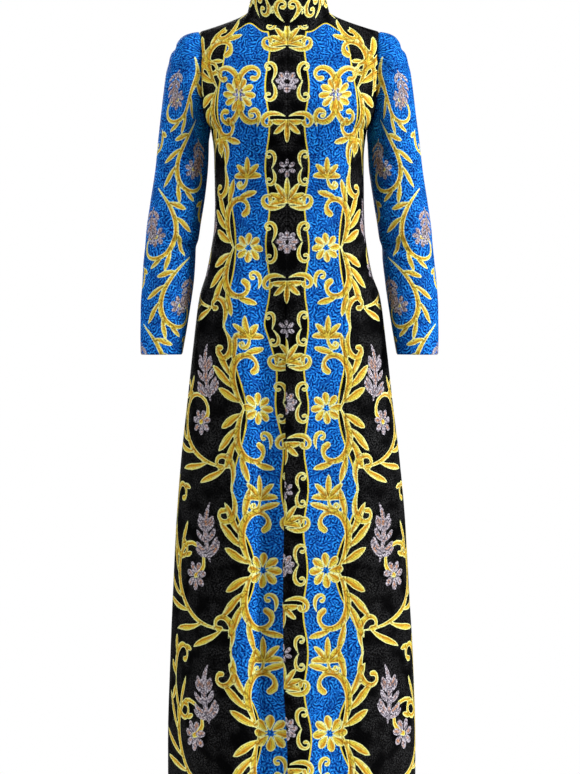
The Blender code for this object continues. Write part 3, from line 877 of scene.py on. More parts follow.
WINDING_GROWTH, BAND_GROWTH, FEATHER_GROWTH, FLOWER_GROWTH = 0.40, 0.22, 8, 6
BAND_MIDDLE, BAND_MIDDLE_FLARE, SIDE_FLARE = 74, 8, 30
BAND_FLOWER = (24, 8)
END_FLOWER = (19, 7, 10)
BUST_PETALS, BUST_HEART = (30, 10, 0, 0.5), (12, 6)
BUST_FLOWER = (92, -165)
BUST_SCROLLS = ((96, 104, -56, -250, 14), (84, 104, 56, 250, 14))
PLUMES = ((174, 164, 84, 112, 24, 250, 12), (174, 310, 84, 112, 24, 250, 12))


print("repeats down the coat:", REPEATS)

# %% [markdown]
# The layout goes down the coat repeat by repeat. The first repeat, at the shoulder, leaves out
# the flower, the fan and the stem, because the flower on the bust takes their place.
# %% Laying out the body's print


def scrolls(rows, u, v):
    return [stroke(u + row[0], v - row[1], *row[2:]) for row in rows]


def pair_on(row, u, v, grow=1.0, **more):
    """A pair of scrolls from a table's row, longer where the skirt flares."""
    across, drop, heading, length, *shape = row
    return pair(u + across, v - drop, heading, length * grow, *shape, **more)


def fan_on(row, u, v, grow=1.0):
    drop, heading, radius, *shape = row
    return fan(u, v - drop, heading, radius * grow, *shape)


def winding_stem(k):
    """The leafy stem at the side of one repeat. A flower opens at its end."""
    v = -k * PERIOD
    _, outer = band_edges(v)
    start, drop, heading, length, bend, curl, width = WINDING
    room = 1 + WINDING_GROWTH * flare(v - PERIOD / 2)
    return acanthus(
        outer + start, v - drop, heading, length * room, bend, curl, width, lobes=6, side=-1,
        first=0.05, last=0.66, size=0.27,
    )


def body_gold():
    made = []
    for k in range(REPEATS):
        v = -k * PERIOD
        middle = v - PERIOD / 2
        grow = 1 + BAND_GROWTH * flare(middle)
        band = BAND_MIDDLE + BAND_MIDDLE_FLARE * flare(middle)
        for row in CENTRE_FANS:
            made += fan_on(row, 0, v)
        made += scrolls(CENTRE_SCROLLS, 0, v)
        for row in CENTRE_BRACKETS:
            made += pair_on(row, 0, v)
        _, outer = band_edges(middle)
        made += pair_on(EDGE_SCROLLS, outer, middle, grow, side=-1, lobes=5, size=0.40)
        _, outer = band_edges(v)
        made += pair_on(NARROW_SCROLLS, outer, v, grow)
        made += scrolls(BAND_SCROLLS[1:] if k == 0 else BAND_SCROLLS, band, v)
        if k == 0:
            continue
        radius, petals = BAND_FLOWER
        made += rosette(band, middle, radius * grow, petals)
        made += fan_on(BAND_FAN, band + 2, v, grow)
        made += winding_stem(k)
        made += pair_on(SIDE_SCROLLS, SIDE_FLARE * flare(middle), v, side=-1, lobes=3, size=0.3)
    made += rosette(*BUST_FLOWER, *BUST_PETALS)
    for row in BUST_SCROLLS:
        made += pair(*BUST_FLOWER, *row)
    for u, drop, *shape in PLUMES:
        made += acanthus(u, -drop, *shape, lobes=4, side=-1, size=0.34)
    return made


def body_silver():
    made = rosette(*BUST_FLOWER, *BUST_HEART)
    for k in range(REPEATS):
        v = -k * PERIOD
        for drop, *shape in CENTRE_FLOWERS:
            made += rosette(0, v - drop, *shape)
        if k == 0:
            continue
        wide = flare(v - PERIOD / 2)
        _, outer = band_edges(v)
        eye_u, eye_v = winding_stem(k)[0][0][-1]
        radius, *shape = END_FLOWER
        made += rosette(eye_u, eye_v, radius + FLOWER_GROWTH * wide, *shape)
        across, drop, heading, length, *shape = FEATHER
        length = length + FEATHER_GROWTH * wide
        made += feather(outer + across, v - drop, heading, length, *shape, lobes=5)
    return made


GOLD_STROKES = body_gold()
SILVER_STROKES = body_silver()
print("strokes on the body:", len(GOLD_STROKES), "gold and", len(SILVER_STROKES), "silver")

# %% [markdown]
# The sleeves are blue, with two winding vines each, one on the front and one on the back, and
# the collar is black with a row of small scrolls. A vine swings from side to side, and each
# swing ends in a curl with a flower.
# %% The prints of the sleeves and the collar
VINE_PERIOD = 260.0
VINE_SWINGS = 7
VINE_TOP = 60.0
VINE_APART = 170.0
VINE_STEM = (46, 52, 252, 70, 280, 12)
VINE_BRANCH = (64, 18, 24, 66, 30, 250, 10)
VINE_FEATHER = (50, 36, 6, 82, 30, 12)
VINE_FLOWER = (17, 7, 10)
COLLAR_START, COLLAR_STEP, COLLAR_REPEATS = 6, 52.0, 5
COLLAR_STROKES = (
    (0, 6, 40, 74, 60, 280, 11),
    (46, 52, 220, 70, 60, 270, 10),
)
COLLAR_FLOWER = (26, 28, 8, 6)


def vine():
    """Each swing of the two vines, on the sleeve's front and its back, as place, hand and stem."""
    for k in range(VINE_SWINGS):
        for middle, hand in ((0, 1 - 2 * (k % 2)), (VINE_APART, 2 * (k % 2) - 1)):
            v = VINE_TOP - k * VINE_PERIOD / 2
            out, lean, length, bend, curl, width = VINE_STEM
            yield middle, v, hand, acanthus(
                middle - out * hand, v, -90 + lean * hand, length, -bend * hand, -curl * hand,
                width, lobes=5, side=hand, first=0.20, last=0.66, size=0.20,
            )


def sleeve_gold():
    made = []
    out, drop, lean, length, bend, curl, width = VINE_BRANCH
    for middle, v, hand, stem in vine():
        made += stem
        made += acanthus(
            middle + out * hand, v - drop, -90 - lean * hand, length, bend * hand, curl * hand,
            width, lobes=2, side=-hand, size=0.36,
        )
    return made


def sleeve_silver():
    made = []
    out, drop, lean, length, bend, width = VINE_FEATHER
    for middle, v, hand, stem in vine():
        eye_u, eye_v = stem[0][0][-1]
        made += rosette(eye_u, eye_v, *VINE_FLOWER)
        made += feather(
            middle - out * hand, v - drop, -90 - lean * hand, length, bend * hand, width
        )
    return made


def collar_gold():
    made = []
    out, height, *petals = COLLAR_FLOWER
    for u in COLLAR_START + np.arange(COLLAR_REPEATS) * COLLAR_STEP:
        made += [stroke(u + row[0], *row[1:]) for row in COLLAR_STROKES]
        made += rosette(u + out, height, *petals)
    return made


def all_blue(places):
    return np.full(len(places), FAR)


def all_black(places):
    return np.full(len(places), -FAR)


def measured(flat, ground, gold, silver):
    """The print at each flat place of a grid, in mm. under is the stroke below the nearest."""
    places = flat.reshape(-1, 2) / MM
    if ground is body_ground:
        places[:, 0] = np.abs(places[:, 0])
    gold_gap, under_gap, across = ink(places, gold)
    silver_gap, silver_under, _ = ink(places, silver)
    found = {
        "gold": gold_gap, "under": under_gap, "across": across, "silver": silver_gap,
        "silver_under": silver_under, "ground": ground(places),
    }
    return {name: values.reshape(flat.shape[:2]) for name, values in found.items()}


print("strokes on a sleeve:", len(sleeve_gold()) + len(sleeve_silver()))
print("strokes on the collar:", len(collar_gold()))

# %% [markdown]
# A shell is one closed mesh: the outer grid, an inner grid with every second point, one cloth
# thickness inside it, and a strip round the edge. The inner side needs no fine grid, as only
# plain cloth shows there. The flat places and the print's distances are kept on the corners of
# the faces, so that a tube's print may end at its seam.
# %% Building a shell
SHARP = math.radians(50)
CORNERS = ((0, 0), (0, 1), (1, 1), (1, 0))


def quads_of(rows, columns, ring):
    """The corner numbers of a grid's faces, and which cells they are."""
    across = columns if ring else columns - 1
    i, j = np.meshgrid(np.arange(rows - 1), np.arange(across), indexing="ij")
    i, j = i.ravel(), j.ravel()
    faces = np.stack([(i + di) * columns + (j + dj) % columns for di, dj in CORNERS], axis=1)
    return faces, i, j


def strip(outer, inner, start):
    """Five-cornered faces between an edge of the outer grid and one of the inner grid."""
    long = len(inner) - 1
    m = np.arange(long)
    return np.stack((outer[2 * m + 2], outer[2 * m + 1], outer[2 * m],
                     inner[m] + start, inner[m + 1] + start), axis=1)


def shell_faces(rows, columns, small_shape, ring):
    """The faces outside, inside and round the rims, and which cells the outer ones are."""
    count = rows * columns
    order = np.arange(count).reshape(rows, columns)
    inside = np.arange(small_shape[0] * small_shape[1]).reshape(small_shape)
    if ring:
        order = np.concatenate((order, order[:, :1]), axis=1)
        inside = np.concatenate((inside, inside[:, :1]), axis=1)
    faces, i, j = quads_of(rows, columns, ring)
    back = quads_of(*small_shape, ring)[0][:, ::-1] + count
    rims = [strip(order[0], inside[0], count), strip(order[-1, ::-1], inside[-1, ::-1], count)]
    if not ring:
        rims.append(strip(order[::-1, 0], inside[::-1, 0], count))
        rims.append(strip(order[:, -1], inside[:, -1], count))
    return (faces, back, np.concatenate(rims)), i, j


def mesh_of(name, points, groups):
    """A mesh from groups of faces. The second group, the inside, has the second finish."""
    mesh = bpy.data.meshes.new(name)
    mesh.vertices.add(len(points))
    mesh.vertices.foreach_set("co", points.ravel())
    loops = np.concatenate([faces.ravel() for faces in groups])
    mesh.loops.add(len(loops))
    mesh.loops.foreach_set("vertex_index", loops.astype(np.int32))
    sizes = np.concatenate([np.full(len(faces), faces.shape[1]) for faces in groups])
    starts = np.concatenate(([0], np.cumsum(sizes)[:-1]))
    finish = np.concatenate([np.full(len(faces), k % 2) for k, faces in enumerate(groups)])
    mesh.polygons.add(len(sizes))
    mesh.polygons.foreach_set("loop_start", starts.astype(np.int32))
    mesh.polygons.foreach_set("material_index", finish.astype(np.int32))
    mesh.update(calc_edges=True)
    mesh.validate()
    return mesh, loops


print("faces of a small grid:", [len(group) for group in shell_faces(5, 5, (3, 3), False)[0]])

# %% [markdown]
# The shell itself. The outer faces keep the print's distances and the flat places at their
# corners. The inner faces and the rims keep the values of their own points, and their places
# in the room, which is enough for the reverse's fine thread.
# %% The shell


def shell(name, outer, inner, turned, ring, flat, fields, materials):
    rows, columns = outer.shape[:2]
    small = inner[::2, ::2]
    groups, i, j = shell_faces(rows, columns, small.shape[:2], ring)
    if turned:
        groups = [faces[:, ::-1] for faces in groups]
    points = np.concatenate((outer.reshape(-1, 3), small.reshape(-1, 3)))
    mesh, loops = mesh_of(name, points, groups)
    others = loops[groups[0].size:]

    def corner_values(values):
        """A grid's values at the corners of the outer faces."""
        found = np.stack([values[i + di, j + dj] for di, dj in CORNERS], axis=1)
        return found[:, ::-1] if turned else found

    for key, values in fields.items():
        attribute = mesh.attributes.new(key, "FLOAT", "CORNER")
        at_points = values[:, :columns]
        at_points = np.concatenate((at_points.ravel(), at_points[::2, ::2].ravel()))
        on_corners = np.concatenate((corner_values(values).ravel(), at_points[others]))
        attribute.data.foreach_set("value", on_corners)
    attribute = mesh.attributes.new("flat", "FLOAT_VECTOR", "CORNER")
    deep = np.zeros(flat.shape[:2] + (1,))
    on_faces = corner_values(np.concatenate((flat, deep), axis=2)).reshape(-1, 3)
    attribute.data.foreach_set("vector", np.concatenate((on_faces, points[others])).ravel())
    mesh.shade_smooth()
    mesh.set_sharp_from_angle(angle=SHARP)
    for material in materials:
        mesh.materials.append(material)
    piece = bpy.data.objects.new(name, mesh)
    bpy.context.scene.collection.objects.link(piece)
    return piece


print("edges sharper than, degrees:", round(math.degrees(SHARP)))

# %% [markdown]
# Shader maths. A wire is the output of a node. Adding, subtracting or multiplying wires adds
# the Math nodes that do it, so a finish reads as a formula, and the studio's other nodes come
# from one method that takes the node's type, its settings and its sockets' values or wires.
# %% Wires
class Wire:
    """The output of a node, with arithmetic."""

    def __init__(self, bench, socket):
        self.bench = bench
        self.socket = socket

    def maths(self, operation, *values):
        sockets = dict(enumerate((self,) + values))
        return self.bench.add("ShaderNodeMath", {"operation": operation}, sockets)

    def __add__(self, other):
        return self.maths("ADD", other)

    def __sub__(self, other):
        return self.maths("SUBTRACT", other)

    def __mul__(self, other):
        return self.maths("MULTIPLY", other)

    def __radd__(self, other):
        return self.bench.number(other, "ADD", self)

    def __rsub__(self, other):
        return self.bench.number(other, "SUBTRACT", self)

    def __rmul__(self, other):
        return self.bench.number(other, "MULTIPLY", self)

    def __neg__(self):
        return self.maths("MULTIPLY", -1.0)

    def step(self, low, high):
        """From 0 to 1, softly, as the value goes from low to high."""
        settings = {"interpolation_type": "SMOOTHSTEP"}
        return self.bench.add(
            "ShaderNodeMapRange", settings, {"Value": self, "From Min": low, "From Max": high}
        )


print("a wire's operators: + - * and their reflected forms, and step")

# %% [markdown]
# The bench. One object holds a material's node tree and the few ways to add a node to it: any
# node by its type, its settings and its sockets, and short forms for the ones used most.
# %% The bench
MIX_SHARE, MIX_FIRST, MIX_SECOND, MIX_OUT = 0, 6, 7, 2


class Bench:
    """A material's node tree, with one way to add a node."""

    def __init__(self, name):
        self.material = bpy.data.materials.new(name)
        self.material.use_nodes = True
        self.tree = self.material.node_tree
        self.shader = self.tree.nodes["Principled BSDF"]

    def add(self, kind, settings=None, sockets=None, output=0):
        node = self.tree.nodes.new(kind)
        for key, value in (settings or {}).items():
            setattr(node, key, value)
        self.fill(node, sockets or {})
        return Wire(self, node.outputs[output])

    def fill(self, node, sockets):
        for key, value in sockets.items():
            if isinstance(value, Wire):
                self.tree.links.new(value.socket, node.inputs[key])
            else:
                node.inputs[key].default_value = value

    def number(self, value, operation, wire):
        return self.add("ShaderNodeMath", {"operation": operation}, {0: value, 1: wire})

    def attribute(self, name, output="Fac"):
        return self.add("ShaderNodeAttribute", {"attribute_name": name}, output=output)

    def mix(self, share, first, second):
        """Two colours mixed."""
        first = first if isinstance(first, Wire) else (*first, 1.0)
        second = second if isinstance(second, Wire) else (*second, 1.0)
        sockets = {MIX_SHARE: share, MIX_FIRST: first, MIX_SECOND: second}
        return self.add("ShaderNodeMix", {"data_type": "RGBA"}, sockets, output=MIX_OUT)

    def noise(self, vector, scale, detail=2.0, rough=0.5):
        sockets = {"Vector": vector, "Scale": scale, "Detail": detail, "Roughness": rough}
        return self.add("ShaderNodeTexNoise", {}, sockets)

    def bump(self, height, strength, distance):
        sockets = {"Strength": strength, "Distance": distance, "Height": height}
        return self.add("ShaderNodeBump", {}, sockets, output="Normal")


print("a bench's short forms: attribute, mix, noise, bump")


# %% [markdown]
# The brocade's finish. The cloth is woven with a raised, worm-like relief all over, tone on
# tone: short bent strokes about 3 mm wide. It is made by band-limited noise whose direction
# drifts. Besides its bump, the relief's light and shade are painted into the colour: on blue the
# strokes' crests get a painted highlight and the ditches painted shade, and on black the strokes
# get a painted grey highlight only in patches. The gold has a pale rim, a yellow body and an
# orange side with fine lines along it, the silver is speckled with a warm heart, both have
# painted shade in the relief's ditches, and a fine satin weave lies over all of them. Brocade of
# this kind shines little, so its gloss is weak and the black stays deep.
# %% The brocade
BLUE_PAINTED_HIGHLIGHT = (0.030, 0.38, 1.0)
BLUE_BODY = (0.006, 0.120, 0.56)
BLUE_DEEP = (0.0004, 0.005, 0.080)
BLACK_PAINTED_GLINT = (0.028, 0.028, 0.029)
BLACK_DEEP = (0.0005, 0.0005, 0.0007)
GOLD_RIM = (0.82, 0.87, 0.38)
GOLD_BODY = (0.70, 0.57, 0.060)
GOLD_SIDE = (0.58, 0.24, 0.012)
GOLD_LINE = (0.20, 0.10, 0.008)
SILVER = (0.27, 0.24, 0.28)
SILVER_LIGHT = (0.70, 0.66, 0.72)
SILVER_DEEP = (0.045, 0.038, 0.052)
SILVER_WARM = (0.44, 0.18, 0.055)
RELIEF_PER_M = 88.0
RELIEF_REPEATS = 1.9
RELIEF_DRIFT = 16.0
RELIEF_ORDER = 0.5
RAISED, CREST = (0.33, 0.56), (0.48, 0.74)
DRIFT_PER_M, PATCHES_PER_M, BROAD_PER_M, MOTTLE_PER_M = 30.0, 26.0, 60.0, 420.0
WEAVE_PER_M = 260.0
RELIEF_HEIGHT = 0.9 * MM
BROCADE_ROUGHNESS = 0.50
BROCADE_GLOSS = 0.02
EDGE_MM = 0.45
RIM_MM = (1.0, 2.8)
PIPING_MM = (1.1, 1.9)


print("a relief stroke's step, mm:", round(1 / (RELIEF_PER_M * RELIEF_REPEATS) / MM, 1))

# %% [markdown]
# The colours are formulas of the noises and of the distances to the print. The ground, the gold
# and the silver are three colours of their own, and the distances choose between them, with an
# edge less than a millimetre wide.
# %% The brocade's colours


def cloth_noises(bench, flat):
    """The worm-like relief, and the noises that all the colours share."""
    drift = bench.noise(flat, DRIFT_PER_M, 1.0) * RELIEF_DRIFT
    relief = bench.add("ShaderNodeTexGabor", {}, {
        "Vector": flat, "Scale": RELIEF_PER_M, "Frequency": RELIEF_REPEATS,
        "Anisotropy": RELIEF_ORDER, "Orientation": drift,
    })
    return {
        "raised": relief.step(*RAISED), "crest": relief.step(*CREST),
        "mottle": bench.noise(flat, MOTTLE_PER_M), "broad": bench.noise(flat, BROAD_PER_M),
        "patches": bench.noise(flat, PATCHES_PER_M, 1.0),
    }


def ground_colour(bench, cloth):
    """Blue and black, with a gold piping between them. The relief gets painted highlight and painted
    shade.
    """
    raised, mottle, patches = cloth["raised"], cloth["mottle"], cloth["patches"]
    # Painted shade: the relief's ditches on blue are painted a deeper blue, besides the bump.
    blue = bench.mix(raised * 0.8 + mottle * 0.2, BLUE_DEEP, BLUE_BODY)
    # Painted highlight: the relief's crests on blue are painted a lighter azure.
    blue = bench.mix(cloth["crest"] * 0.9, blue, BLUE_PAINTED_HIGHLIGHT)
    blue = bench.mix(patches.step(0.42, 0.72) * 0.40, blue, BLUE_DEEP)
    # Painted highlight: the black's relief strokes are painted grey in patches.
    painted_glints = raised * mottle.step(0.40, 0.62) * patches.step(0.34, 0.62)
    black = bench.mix(painted_glints, BLACK_DEEP, BLACK_PAINTED_GLINT)
    gap = bench.attribute("ground")
    ground = bench.mix(gap.step(-EDGE_MM, EDGE_MM), black, blue)
    piping = 1 - gap.maths("ABSOLUTE").step(*PIPING_MM)
    return bench.mix(piping, ground, GOLD_BODY)


def gold_colour(bench, cloth, gap):
    """A pale rim, a yellow body, an orange side with fine lines, and a line beside a lobe."""
    broad, inward = cloth["broad"], -gap
    across, under = bench.attribute("across"), bench.attribute("under")
    body = inward.step(*RIM_MM)
    gold = bench.mix((inward + broad * 1.5).step(*RIM_MM), GOLD_RIM, GOLD_BODY)
    pale = broad.step(0.48, 0.66) * (1 - across.step(-0.3, 0.3))
    gold = bench.mix(pale * 0.75, gold, GOLD_RIM)
    turned_side = (across + (broad - 0.5) * 1.6).step(-0.30, 0.32) * body
    gold = bench.mix(turned_side * 0.92, gold, GOLD_SIDE)
    lines = (across * 11.0 + broad * 7.0).maths("SINE").step(0.3, 0.95) * body
    # The print's fine lines, and the relief's ditches darkened as painted shade.
    gold = bench.mix(lines * 0.46 + (1 - cloth["raised"]) * 0.20, gold, GOLD_LINE)
    beside_lobe = under.step(-0.5, 0.3) * (1 - under.step(0.6, 3.6)) * inward.step(0.8, 2.0)
    return bench.mix(beside_lobe * 0.75, gold, GOLD_LINE)


def silver_colour(bench, cloth, gap):
    """Speckled, with painted shade in the relief's ditches, a warm heart and a dark line between
    petals.
    """
    raised, inward = cloth["raised"], -gap
    under = bench.attribute("silver_under")
    warmth = cloth["broad"].step(0.42, 0.58) * inward.step(1.2, 3.8)
    silver = bench.mix(raised * cloth["mottle"].step(0.46, 0.60), SILVER, SILVER_LIGHT)
    # Painted shade: the relief's ditches on silver are painted darker.
    silver = bench.mix((1 - raised) * 0.75, silver, SILVER_DEEP)
    silver = bench.mix(warmth * raised * 0.85, silver, SILVER_WARM)
    petal_edge = under.step(-0.4, 0.2) * inward.step(0.2, 0.9) * (1 - under.step(0.4, 2.0))
    return bench.mix(petal_edge * 0.7, silver, SILVER_DEEP)


print("edge of a stroke, mm:", 2 * EDGE_MM)

# %% [markdown]
# One finish for each material slot of the record. The relief, a fine weave and the slight
# height of the gold go into one bump, and the ditches are a little rougher than the strokes.
# %% The brocade's finish


def brocade(name):
    bench = Bench(name)
    flat = bench.attribute("flat", "Vector")
    cloth = cloth_noises(bench, flat)
    raised, mottle = cloth["raised"], cloth["mottle"]
    gold_gap, silver_gap = bench.attribute("gold"), bench.attribute("silver")
    on_gold = 1 - gold_gap.step(-EDGE_MM, EDGE_MM)
    on_silver = 1 - silver_gap.step(-EDGE_MM, EDGE_MM)
    printed = bench.mix(on_gold, ground_colour(bench, cloth), gold_colour(bench, cloth, gold_gap))
    printed = bench.mix(on_silver, printed, silver_colour(bench, cloth, silver_gap))
    weave = bench.add(
        "ShaderNodeTexWave", {"bands_direction": "DIAGONAL"},
        {"Vector": flat, "Scale": WEAVE_PER_M, "Distortion": 1.5, "Detail": 1.0}, output="Fac",
    )
    height = raised * 0.8 + mottle * 0.25 + weave * 0.12 + on_gold * 0.15
    bench.fill(bench.shader, {
        "Base Color": printed,
        "Roughness": BROCADE_ROUGHNESS + (1 - raised) * 0.20 + mottle * 0.06,
        "Normal": bench.bump(height, 0.8, RELIEF_HEIGHT),
        "Specular IOR Level": BROCADE_GLOSS,
    })
    return bench.material


FINISHES = {
    slot: brocade(slot) for slot in
    ("brocade_fronts", "brocade_sides", "brocade_back", "brocade_sleeves", "brocade_collar")
}
print("finishes:", ", ".join(FINISHES))

# %% [markdown]
# The reverse of the cloth is plain black satin with a fine thread, and it shows inside the neck,
# the cuffs and the hem. The floor is nearly white, with a faint cloudiness.
# %% The reverse and the floor
REVERSE_DARK, REVERSE_LIGHT = (0.004, 0.004, 0.006), (0.014, 0.014, 0.018)
REVERSE_ROUGHNESS = 0.36
THREAD_PER_M = 900.0
THREAD_HEIGHT = 0.2 * MM
FLOOR_DARK, FLOOR_LIGHT = (0.80, 0.80, 0.79), (0.86, 0.86, 0.85)
FLOOR_ROUGHNESS = 0.7


def reverse_side(name):
    bench = Bench(name)
    thread = bench.noise(bench.attribute("flat", "Vector"), THREAD_PER_M)
    bench.fill(bench.shader, {
        "Base Color": bench.mix(thread, REVERSE_DARK, REVERSE_LIGHT),
        "Roughness": REVERSE_ROUGHNESS + thread * 0.1,
        "Normal": bench.bump(thread, 0.4, THREAD_HEIGHT),
    })
    return bench.material


REVERSE = reverse_side("reverse")
floor_finish = Bench("floor")
grain = floor_finish.noise(floor_finish.add("ShaderNodeTexCoord", output="Object"), 3.0)
floor_finish.fill(floor_finish.shader, {
    "Base Color": floor_finish.mix(grain, FLOOR_DARK, FLOOR_LIGHT), "Roughness": FLOOR_ROUGHNESS,
})
floor_mesh.materials.append(floor_finish.material)
print("nodes in a brocade:", len(FINISHES["brocade_back"].node_tree.nodes))

# %% [markdown]
# Sewing the body together. Each piece is moved by its folds, drawn back from its seams by half
# of the seam's gap, and given its thickness. The cut size of a sheet is its size along the
# cloth, and a piece that isn't a rectangle states the area of its cut as well.
# %% Body shells
def drawn_back(grid):
    """The grid with its edge points moved towards their neighbours by half a seam gap."""
    moved = grid.copy()
    for edge, inside in ((0, 1), (-1, -2)):
        moved[edge] += SEAM_GAP / 2 * unit(grid[inside] - grid[edge])
        moved[:, edge] += SEAM_GAP / 2 * unit(grid[:, inside] - grid[:, edge])
    return moved


def area_of(grid, ring=False):
    if ring:
        grid = np.concatenate((grid, grid[:, :1]), axis=1)
    first = np.cross(grid[1:, 1:] - grid[:-1, :-1], grid[1:, :-1] - grid[:-1, 1:])
    return float(np.linalg.norm(first, axis=2).sum() / 2)


def declare(piece, node, slot, width, length, area):
    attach(piece, "root")
    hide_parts(node)
    print(node, "cut", round(width / MM), "x", round(length / MM), "mm, area", round(area, 4), "m2")


def slot_of(name):
    kind = "sides" if name.startswith("side") else "fronts" if name.startswith("front") else "back"
    return "brocade_" + kind


for name, grid in GRIDS.items():
    turned = name in TURNED
    facing = BACK if "back" in name else FRONT
    flat = FLAT[name]
    normals = normals_of(grid, turned)
    sides, ends = to_edges(grid)
    lift = fold_depth(grid, facing) - seam_sink(sides, ends, flat)
    outer = drawn_back(grid + lift[..., None] * normals)
    inner = outer - WALL * normals
    fields = measured(flat, body_ground, GOLD_STROKES, SILVER_STROKES)
    materials = (FINISHES[slot_of(name)], REVERSE)
    piece = shell(name + "_cloth", outer, inner, turned, False, flat, fields, materials)
    across = along_rows(grid)
    width = float(across[:, -1].max())
    length = float(flat[..., 1].max() - flat[..., 1].min())
    declare(piece, name, slot_of(name), width, length, area_of(grid))

# %% [markdown]
# A sleeve starts on the armhole's own points. Each ring after it is an ellipse between the
# arm's outer and inner line, and the armhole's form fades out of the rings below the cap. The
# sleeve bends forward at the elbow, where its front and inner side crumple in short troughs.
# A fold's row holds its place along the arm, the turn of its middle as a share of a half turn,
# how far it spreads round the arm in radians, its width, its depth and its slope. The first two
# rings are tucked inside the armhole, as a sewn sleeve's are, so that no light shows there.
# %% Sleeves
SLEEVE_COLUMNS = (
    "along", "outer_x", "outer_z", "inner_x", "inner_z", "half_depth", "back", "hang", "armhole_form"
)
SLEEVE_SECTIONS = (
    (170.0, -36.0, 148.0, -224.0, 51.0, 1.0, 0.0, 1.00),
    (185.5, -38.5, 148.7, -229.0, 55.5, 1.0, 1.0, 0.90),
    (201.0, -45.0, 149.3, -235.0, 59.0, 1.0, 1.5, 0.75),
    (214.0, -61.0, 150.0, -241.0, 61.0, 1.5, 2.0, 0.60),
    (225.0, -84.0, 150.7, -249.0, 61.0, 2.0, 2.0, 0.45),
    (232.0, -112.0, 151.0, -259.0, 60.0, 2.5, 2.0, 0.30),
    (237.0, -148.0, 151.5, -273.0, 58.5, 3.0, 2.0, 0.18),
    (242.0, -190.0, 152.5, -293.0, 57.0, 3.5, 2.0, 0.08),
    (247.5, -235.0, 155.5, -320.0, 56.0, 4.0, 1.5, 0.00),
    (254.5, -300.0, 161.0, -360.0, 55.0, 5.0, 1.0, 0.00),
    (264.5, -365.0, 167.5, -400.0, 54.5, 5.5, 1.0, 0.00),
    (271.0, -412.0, 172.0, -430.0, 54.5, 5.5, 1.0, 0.00),
    (273.5, -444.0, 177.0, -447.0, 53.5, 4.0, 1.0, 0.00),
    (276.0, -468.0, 177.5, -464.0, 53.5, 1.5, 1.0, 0.00),
    (279.5, -515.0, 181.5, -512.0, 51.0, -6.0, 0.0, 0.00),
    (282.0, -560.0, 187.5, -557.0, 48.0, -15.0, 0.0, 0.00),
    (282.0, -605.0, 194.5, -603.0, 45.0, -25.0, 0.0, 0.00),
    (281.0, -650.0, 202.5, -650.0, 42.5, -35.0, 0.0, 0.00),
)
SLEEVE_FOLDS = (
    (434, 0.66, 1.05, 8, -5.2, 10),
    (450, 0.62, 1.10, 8, -4.6, -10),
    (414, 0.60, 0.95, 9, 1.8, 8),
    (468, 0.58, 0.95, 9, 1.8, -6),
    (372, 0.80, 0.70, 9, -1.4, -14),
    (96, 0.10, 0.55, 9, -2.2, 10),
    (30, 0.20, 0.50, 8, 1.4, 0),
    (196, 1.30, 0.80, 14, -1.8, 12),
    (470, 1.55, 0.90, 12, -1.6, -16),
    (540, 0.40, 0.80, 16, -1.2, 20),
    (60, 0.03, 0.50, 7, -3.2, 0),
    (112, 0.78, 0.80, 12, -3.0, -60),
    (190, 0.66, 1.00, 18, -3.8, -160),
)


def sleeve_table():
    """The sections, with the way along the arm's outer line as the first column."""
    rows = np.array(SLEEVE_SECTIONS)
    steps = np.hypot(np.diff(rows[:, 0]), np.diff(rows[:, 1]))
    along = np.concatenate(([0.0], np.cumsum(steps)))
    found = dict(zip(SLEEVE_COLUMNS, np.column_stack((along, rows)).T * MM))
    found["armhole_form"] = rows[:, -1]
    return found


SLEEVE = sleeve_table()
SLEEVE_TUCK = 3.0 * MM
SLOPE_RUN = 3
print("arm's outer line, mm:", round(float(SLEEVE["along"][-1]) / MM))


# %% [markdown]
# The sleeve's shell is a closed tube with its seam under the arm. Its turns are those of the
# armhole's points, so the first ring meets the body point for point. The print is measured
# outwards from the middle of the sleeve's front, and down from the shoulder.
# %% Sleeve shells
def armhole_loop(side):
    """The armhole's points, from the armpit up the back and down the front."""
    word = "left" if side == LEFT else "right"
    edge = -1 if side == LEFT else 0
    top = len(HEIGHTS)
    low_front = GRIDS["side_front_" + word][ARMPIT_ROW + 1:, -1]
    low_back = GRIDS["side_back_" + word][ARMPIT_ROW:, -1]
    front = np.concatenate((low_front, GRIDS["front_" + word][top:, -1]))
    back = np.concatenate((low_back, GRIDS["back"][top:-1, edge]))
    turns = np.concatenate((-armhole_turn(back[:, 2]), armhole_turn(front[::-1, 2])))
    return np.concatenate((back, front[::-1])), turns


def sleeve_rings(turns, side, along):
    """The sleeve's rings at some ways along the arm, without the armhole's form."""
    place = {key: read(SLEEVE, key, along)[:, None] for key in SLEEVE_COLUMNS[1:]}
    zero = np.zeros_like(turns)
    outer_x, inner_x = side * place["outer_x"], side * place["inner_x"]
    x = (outer_x + inner_x) / 2 - place["hang"] + np.cos(turns) * (outer_x - inner_x) / 2
    outer_z, inner_z = place["outer_z"], place["inner_z"]
    z = (outer_z + inner_z) / 2 + np.cos(turns) * (outer_z - inner_z) / 2
    y = place["back"] - place["half_depth"] * np.sin(turns)
    return points_of(x, y + zero, z)


def sleeve_lift(turns, along):
    """How far the rolled ends and the folds move each point outwards."""
    ends = np.minimum(along, along[-1] - along)[:, None] + 0 * turns
    lift = -edge_roll(ends)
    for place, turn, spread, width, depth, slope in SLEEVE_FOLDS:
        away = (turns / math.pi - turn + 1) % 2 - 1
        off = (along[:, None] - place * MM - slope * MM * away * SLOPE_RUN) / (width * MM)
        near = soft_step(1 - np.abs(away) * math.pi / spread)
        lift = lift + depth * MM * np.exp(-off * off) * near
    return lift


